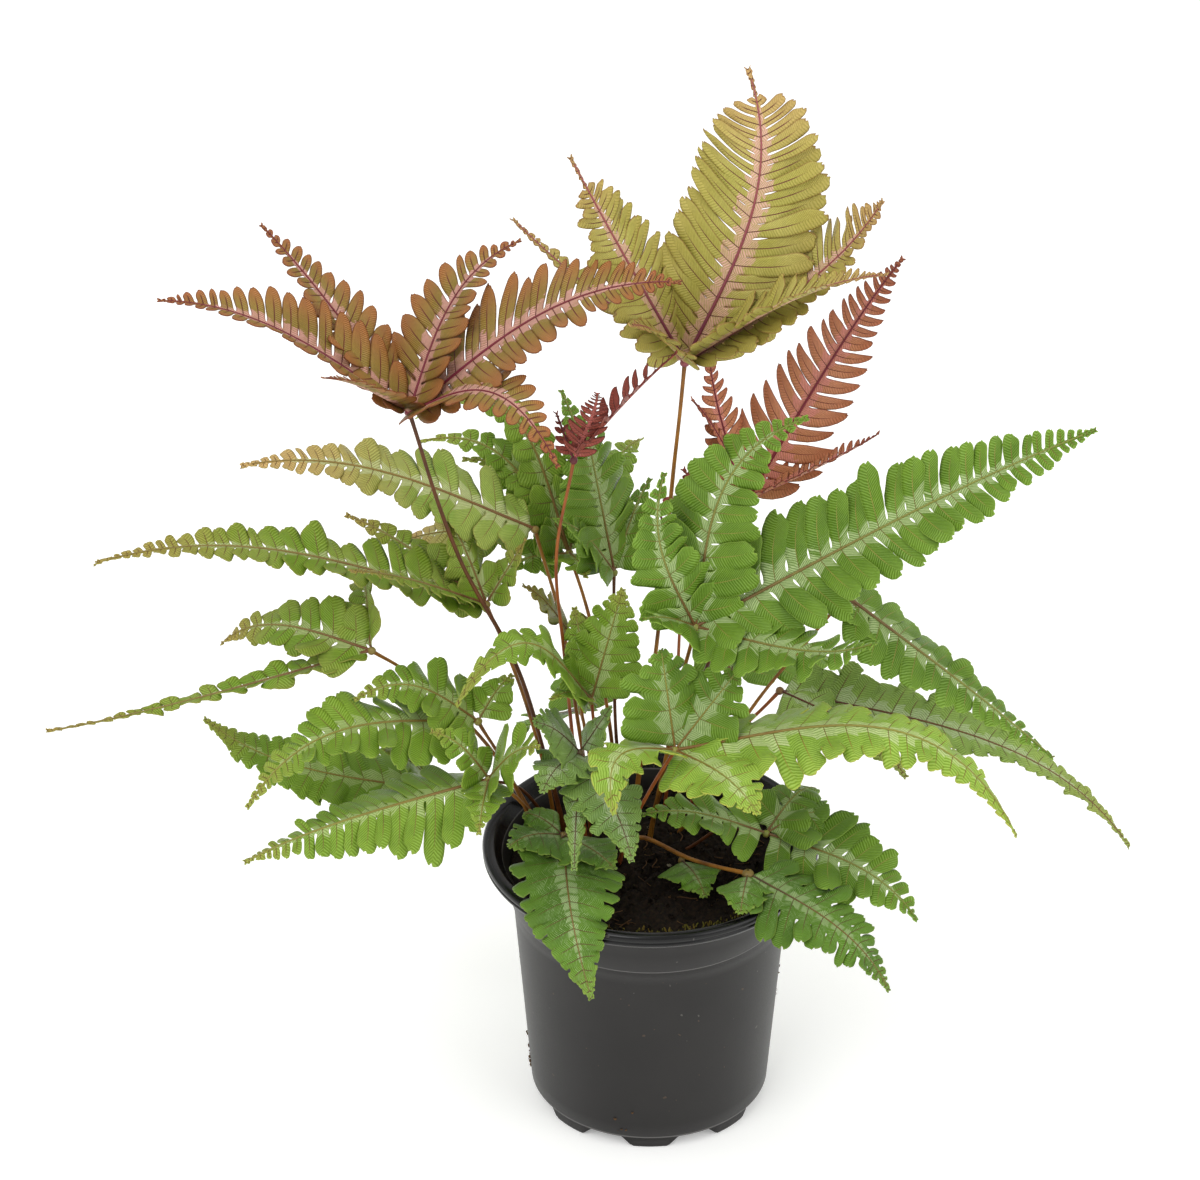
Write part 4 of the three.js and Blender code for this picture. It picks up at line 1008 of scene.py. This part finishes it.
def plain_material(name, code, roughness, second=None, scale=200.0, relief=0.0, specular=0.5):
    """One colour, or two mixed by a noise, with an even or slightly uneven surface."""
    material, t, into = new_material(name, specular)
    into["Base Color"].default_value = colour(code)
    into["Roughness"].default_value = roughness
    grain = t.noise(t.node("ShaderNodeTexCoord").outputs["Object"], scale, 3.0)
    if second:
        t.put(t.mix(t.ramp(grain, 0.35, 0.7), colour(code), colour(second)), into["Base Color"])
    if relief:
        t.put(t.bump(grain, relief, 0.6), into["Normal"])
    return material


def rib_material(name, near, far):
    """A rib: one colour at the hub that turns into another towards the tip."""
    material, t, into = new_material(name, 0.4)
    into["Roughness"].default_value = 0.42
    mark = t.node("ShaderNodeAttribute", attribute_name="spot").outputs["Vector"]
    along = t.node("ShaderNodeSeparateXYZ", {0: mark}).outputs[0]
    grain = t.noise(t.node("ShaderNodeTexCoord").outputs["Object"], 300.0, 2.0)
    turned = t.line(t.minus(grain, 0.5), 0.5, along)
    t.put(t.mix(t.ramp(turned, 0.0, 0.7), colour(near), colour(far)), into["Base Color"])
    return material


def pot_material():
    """Charcoal plastic: a satin wall with painted highlights as pale lines on its edges, dusty specks,
    and a glossy black rim.
    The masks follow the height, in metres."""
    material, t, into = new_material("pot plastic", 0.3)
    where = t.node("ShaderNodeTexCoord").outputs["Object"]
    height = t.node("ShaderNodeSeparateXYZ", {0: where}).outputs[2]
    rim = t.ramp(height, (RIM_FOOT - 0.2) * MM, (RIM_FOOT + 0.1) * MM)
    cloud = t.noise(where, 25.0, 3.0)
    base = t.mix(t.ramp(cloud, 0.3, 0.7), colour("#1A1817"), colour("#201E1D"))
    base = t.mix(rim, base, colour("#0B0B0B"))
    # Painted highlights: thin pale lines where light catches the edges at the collar's foot, above the
    # feet and under the rim
    for level in (COLLAR_FOOT[1] - 0.1, WALL_FOOT[1] + 0.2, RIM_FOOT - 0.1):
        gap = t.math("ABSOLUTE", t.minus(height, level * MM))
        base = t.mix(t.times(t.ramp(gap, 0.35 * MM, 0.1 * MM), 0.6), base, colour("#767472"))
    dust = t.noise(where, 420.0, 1.0)
    base = t.mix(t.times(t.ramp(dust, 0.77, 0.79), 0.7), base, colour("#4A3A2C"))
    light = t.noise(where, 510.0, 0.0)
    base = t.mix(t.times(t.ramp(light, 0.85, 0.87), 0.25), base, colour("#8A867E"))
    t.put(base, into["Base Color"])
    fine = t.noise(where, 1500.0)
    satin = t.line(fine, 0.12, 0.34)
    t.put(t.line(rim, -0.17, satin), into["Roughness"])
    t.put(t.bump(fine, 0.05, 0.2), into["Normal"])
    return material


# The plant

# The colours of each look, and the numbers in which it differs from the leaf pattern
LOOKS = {
    "green": (dict(Blade="#587C16", Second="#688C20", Pale="#A6B980", Tip="#7FA434", Far="#8FB040",
                   Vein="#968E44", Margin="#8FAE46"),
              {"Stripe": 0.19, "Spread": 0.6, "Rag": 2.6, "Tip Strength": 0.5}),
    "aged": (dict(Blade="#7CA034", Second="#98AE4C", Pale="#BEC68E", Tip="#9EA24A", Far="#CCA668",
                  Vein="#8A6A3C", Margin="#9A9048"),
             {"Far Start": 0.25, "Far Strength": 1.0, "Stripe": 0.19}),
    "olive": (dict(Blade="#72941E", Second="#8A9E3C", Pale="#AAB67C", Tip="#86902E", Far="#A88C44",
                   Vein="#80603A", Margin="#949048"),
              {"Far Start": 0.55, "Far Strength": 0.9, "Stripe": 0.15}),
    "khaki": (dict(Blade="#7C7E2C", Second="#6C7A26", Pale="#A9AE70", Tip="#8E8636", Far="#94803A",
                   Vein="#5E4A24", Margin="#8E7E3C"),
              {"Far Start": 0.4, "Far Strength": 0.6, "Stripe": 0.06}),
    "light": (dict(Blade="#6C901E", Second="#80A22E", Pale="#AABC7A", Tip="#88A636", Far="#A8A24A",
                   Vein="#84743A", Margin="#98AE48"),
              {"Stripe": 0.17, "Far Start": 0.7, "Far Strength": 0.7, "Spread": 0.9, "Rag": 2.6}),
    "muted": (dict(Blade="#82A044", Second="#94B252", Pale="#B4C493", Tip="#86A040", Far="#A2A450",
                   Vein="#6E3F34", Margin="#92A04A"),
              {"Far Start": 0.5, "Far Strength": 0.7, "Stripe": 0.24}),
    "grey": (dict(Blade="#6C8C42", Second="#7E9C4C", Pale="#A6B58C", Tip="#7C9A3C", Far="#8AA840",
                  Vein="#4E3826", Margin="#88A048"),
             {"Stripe": 0.3, "Rag": 3.0, "Streaks": 0.5, "Sinus": 0.5, "Slope": 0.4}),
    "fresh": (dict(Blade="#86AA34", Second="#98BA44", Pale="#BCCB8C", Tip="#A0B63C", Far="#B0A844",
                   Vein="#9A7C36", Margin="#BCB852"),
              {"Stripe": 0.24, "Spread": 0.7, "Far Strength": 0.3, "Slope": 0.3, "Vein Slope": 0.35}),
    "dark": (dict(Blade="#4A7014", Second="#5E881E", Pale="#9EB37C", Tip="#6E9030", Far="#8CA640",
                  Vein="#62502C", Margin="#869C42"),
             {"Streaks": 0.6, "Stripe": 0.2, "Spread": 0.3, "Rag": 1.2, "Slope": 0.15, "Sinus": 0.9,
              "Vein Pitch": 0.7, "Far Strength": 0.5}),
    "bronze": (dict(Blade="#8A762A", Second="#988236", Pale="#D8A098", Tip="#AC6636", Far="#A85A34",
                    Vein="#6E242C", Margin="#64281A"),
               {"Stripe": 0.22, "Spread": 0.5, "Rag": 2.2, "Slope": 0.5, "Lengthwise": 0.5,
                "Tip Start": 0.35, "Tip Strength": 0.75, "Vein Pitch": 0.7, "Vein Slope": 0.9,
                "Far Start": 0.7, "Far Strength": 0.7, "Line": 0.3}),
    "gold": (dict(Blade="#AAA44C", Second="#B8B05E", Pale="#DCAC9E", Tip="#B0A04E", Far="#C49A64",
                  Vein="#6E3436", Margin="#8A5A38"),
             {"Stripe": 0.2, "Spread": 0.5, "Rag": 2.0, "Slope": 0.3, "Lengthwise": 0.5,
              "Tip Strength": 0.5, "Vein Shade And Highlight": 0.3, "Line": 0.26, "Far Start": 0.6,
              "Far Strength": 0.8}),
    "crimson": (dict(Blade="#8A4034", Second="#9A4E42", Pale="#B0625C", Tip="#84382E", Far="#7E3430",
                     Vein="#54181E", Margin="#4A1A1A"),
                {"Stripe": 0.2, "Rag": 1.2, "Slope": 0.3, "Lengthwise": 1.0, "Vein Shade And Highlight": 0.5}),
    "red": (dict(Blade="#C6845C", Second="#D08E6C", Pale="#DA8C84", Tip="#A85C3C", Far="#A04E3C",
                 Vein="#6E2630", Margin="#5E2420"),
            {"Stripe": 0.3, "Spread": 0.6, "Rag": 2.4, "Slope": 0.5, "Lengthwise": 0.5,
             "Tip Strength": 0.6, "Vein Shade And Highlight": 0.4, "Far Start": 0.5, "Far Strength": 0.6}),
}
# The colours of each rib at the hub and towards the tip
RIBS = {
    "green": ("#6E4C2A", "#7F8238"), "aged": ("#74502C", "#8A7438"), "olive": ("#6E4426", "#84743A"),
    "khaki": ("#6E4426", "#6E5A2A"), "light": ("#7A5A2E", "#8A8438"), "muted": ("#5A2F24", "#7A5A34"),
    "grey": ("#48301F", "#5E4A2C"), "fresh": ("#7E5A2C", "#8C8A3A"), "dark": ("#4E3A22", "#7A6430"),
    "bronze": ("#7E2C40", "#722A30"), "gold": ("#7A3A50", "#944E50"), "red": ("#86303E", "#702430"),
    "crimson": ("#6E2430", "#561C24"),
}
# The two colours that are mixed on each kind of stem
STEMS = {
    "brown_stipe": ("#5E3414", "#4A2812"), "golden_stipe": ("#9A6624", "#6E441A"),
    "reddish_stipe": ("#9A5626", "#7E3E1C"),
}
KNUCKLE_RISE = (-1.6, -0.9, 0, 0.9, 1.6)
KNUCKLE_SWELL = (0.3, 1.2, 1.5, 1.2, 0.3)  # times the radius of the stem
FIRST_SEED = 100
SOIL_SEED = 5


def dress_frond(number, plant, blades, ribs, stems):
    """A frond as two pieces. The blade has its pinnae, their ribs and a knuckle where they meet; its
    materials are the frond's look, the rib's, and the looks of single pinnae. The stem is the other."""
    rng = np.random.default_rng(FIRST_SEED + number)
    name, kind = plant["name"], plant["kind"]
    look = plant["more"].get("look", kind)
    habit = dict(KINDS[kind], **plant["more"])
    blade = Mesh()
    looks = [look, look]
    for piece in plant["pinnae"]:
        own = piece["more"].get("look", look)
        if own not in looks:
            looks.append(own)
        leaf(blade, plant["hub"], piece, habit, rng, looks.index(own))
        rib(blade, plant["hub"], piece, habit["rib"])
    finishes = [blades[look] for look in looks]
    finishes[1] = ribs[look]
    knuckle = np.array(plant["hub"]) + np.outer(KNUCKLE_RISE, UP)
    tube(blade, knuckle, plant["radius"] * np.array(KNUCKLE_SWELL), sides=8, finish=1)
    blade = blade.build(name + "_leaf", finishes)
    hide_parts(name + "_blade")
    stalk = Mesh()
    stem(stalk, plant, rng)
    stalk = stalk.build(name + "_stem", [stems[plant["stem"]]])
    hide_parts(name + "_stipe")


def dress_fronds():
    pattern = leaf_pattern()
    blades = {name: leaf_material(name + " blade", pattern, *look) for name, look in LOOKS.items()}
    ribs = {name: rib_material(name + " rib", near, far) for name, (near, far) in RIBS.items()}
    stems = {name: plain_material(name, a, 0.4, b, 120, 0.1, 0.3) for name, (a, b) in STEMS.items()}
    for number, plant in enumerate(FRONDS):
        dress_frond(number, plant, blades, ribs, stems)


def dress_pot():
    pot = pot_mesh().build("nursery_pot", [pot_material()])
    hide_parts("pot")


def dress_soil():
    """The potting mix, what lies on it, and what sticks to the wall of the pot."""
    mix = plain_material("potting mix", "#15100C", 0.95, "#271C13", 700, 0.6, 0.2)
    husk = plain_material("husk", "#4A3420", 0.8, "#5E4428", 500, 0.3, 0.2)
    grit = plain_material("grit", "#A39A86", 0.7, "#7E7464", 500, 0.3, 0.2)
    fuzz = plain_material("moss", "#5E5A22", 0.85, "#6E5A26", 260, 0.2, 0.2)
    rng = np.random.default_rng(SOIL_SEED)
    top = soil_waves(rng)
    soil = soil_mesh(top).build("potting_soil", [mix])
    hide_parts("soil")
    crumbs, moss = litter(top, rng)
    crumbs = crumbs.build("soil_crumbs", [mix, husk, grit])
    moss = moss.build("moss", [fuzz])
    dirt = wall_dirt(rng).build("wall_dirt", [husk])


# Floor, light and camera, with places and sizes in metres

CAMERA_PLACE = (-0.018, -1.6483, 1.2368)
CAMERA_TILT = 58.1  # from straight down
CAMERA_LENS = 168
FLOOR_REACH = 6


def softbox(name, place, aim, size, power):
    """A lamp that shines from place to aim, with a face of the given size."""
    light = bpy.data.lights.new(name, "AREA")
    light.shape = "RECTANGLE"
    light.size, light.size_y = size
    light.energy = power
    lamp = bpy.data.objects.new(name, light)
    bpy.context.scene.collection.objects.link(lamp)
    lamp.location = place
    lamp.rotation_euler = (Vector(aim) - Vector(place)).to_track_quat("-Z", "Y").to_euler()


def studio():
    """A pale floor, soft light from the left, the right and above, and the photo's point of view."""
    scene = bpy.context.scene
    scene.view_settings.view_transform = "Standard"
    world = bpy.data.worlds.new("studio")
    scene.world = world
    world.use_nodes = True
    sky = world.node_tree.nodes["Background"].inputs
    sky["Color"].default_value = WHITE
    sky["Strength"].default_value = 0.7
    plane = bpy.data.meshes.new("floor")
    corners = [(x * FLOOR_REACH, y * FLOOR_REACH, 0) for x, y in ((-1, -1), (1, -1), (1, 1), (-1, 1))]
    plane.from_pydata(corners, [], [(0, 1, 2, 3)])
    floor = bpy.data.objects.new("floor", plane)
    scene.collection.objects.link(floor)
    paper, _, into = new_material("floor", 0.1)
    into["Base Color"].default_value = colour("#F4F4F2")
    into["Roughness"].default_value = 0.9
    into["Emission Color"].default_value = WHITE
    into["Emission Strength"].default_value = 0.28
    plane.materials.append(paper)
    softbox("key", (-0.9, -1.3, 1.7), (0, 0, 0.2), (1.4, 1.0), 17)
    softbox("fill", (1.3, -1.0, 1.1), (0, 0, 0.18), (1.2, 1.2), 9)
    softbox("top", (0.0, 0.3, 1.9), (0, 0, 0.2), (1.6, 1.6), 9)
    camera = bpy.data.objects.new("camera", bpy.data.cameras.new("camera"))
    scene.collection.objects.link(camera)
    camera.location = CAMERA_PLACE
    camera.rotation_euler = (math.radians(CAMERA_TILT), 0, 0)
    camera.data.lens = CAMERA_LENS
    camera.data.sensor_width = 36
    scene.camera = camera


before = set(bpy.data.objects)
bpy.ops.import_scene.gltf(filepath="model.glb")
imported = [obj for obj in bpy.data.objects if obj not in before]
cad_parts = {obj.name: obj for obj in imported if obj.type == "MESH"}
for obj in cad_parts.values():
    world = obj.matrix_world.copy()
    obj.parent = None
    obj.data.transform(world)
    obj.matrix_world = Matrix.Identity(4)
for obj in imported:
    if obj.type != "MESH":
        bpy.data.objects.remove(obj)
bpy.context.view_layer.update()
dress_fronds()
dress_pot()
dress_soil()
studio()
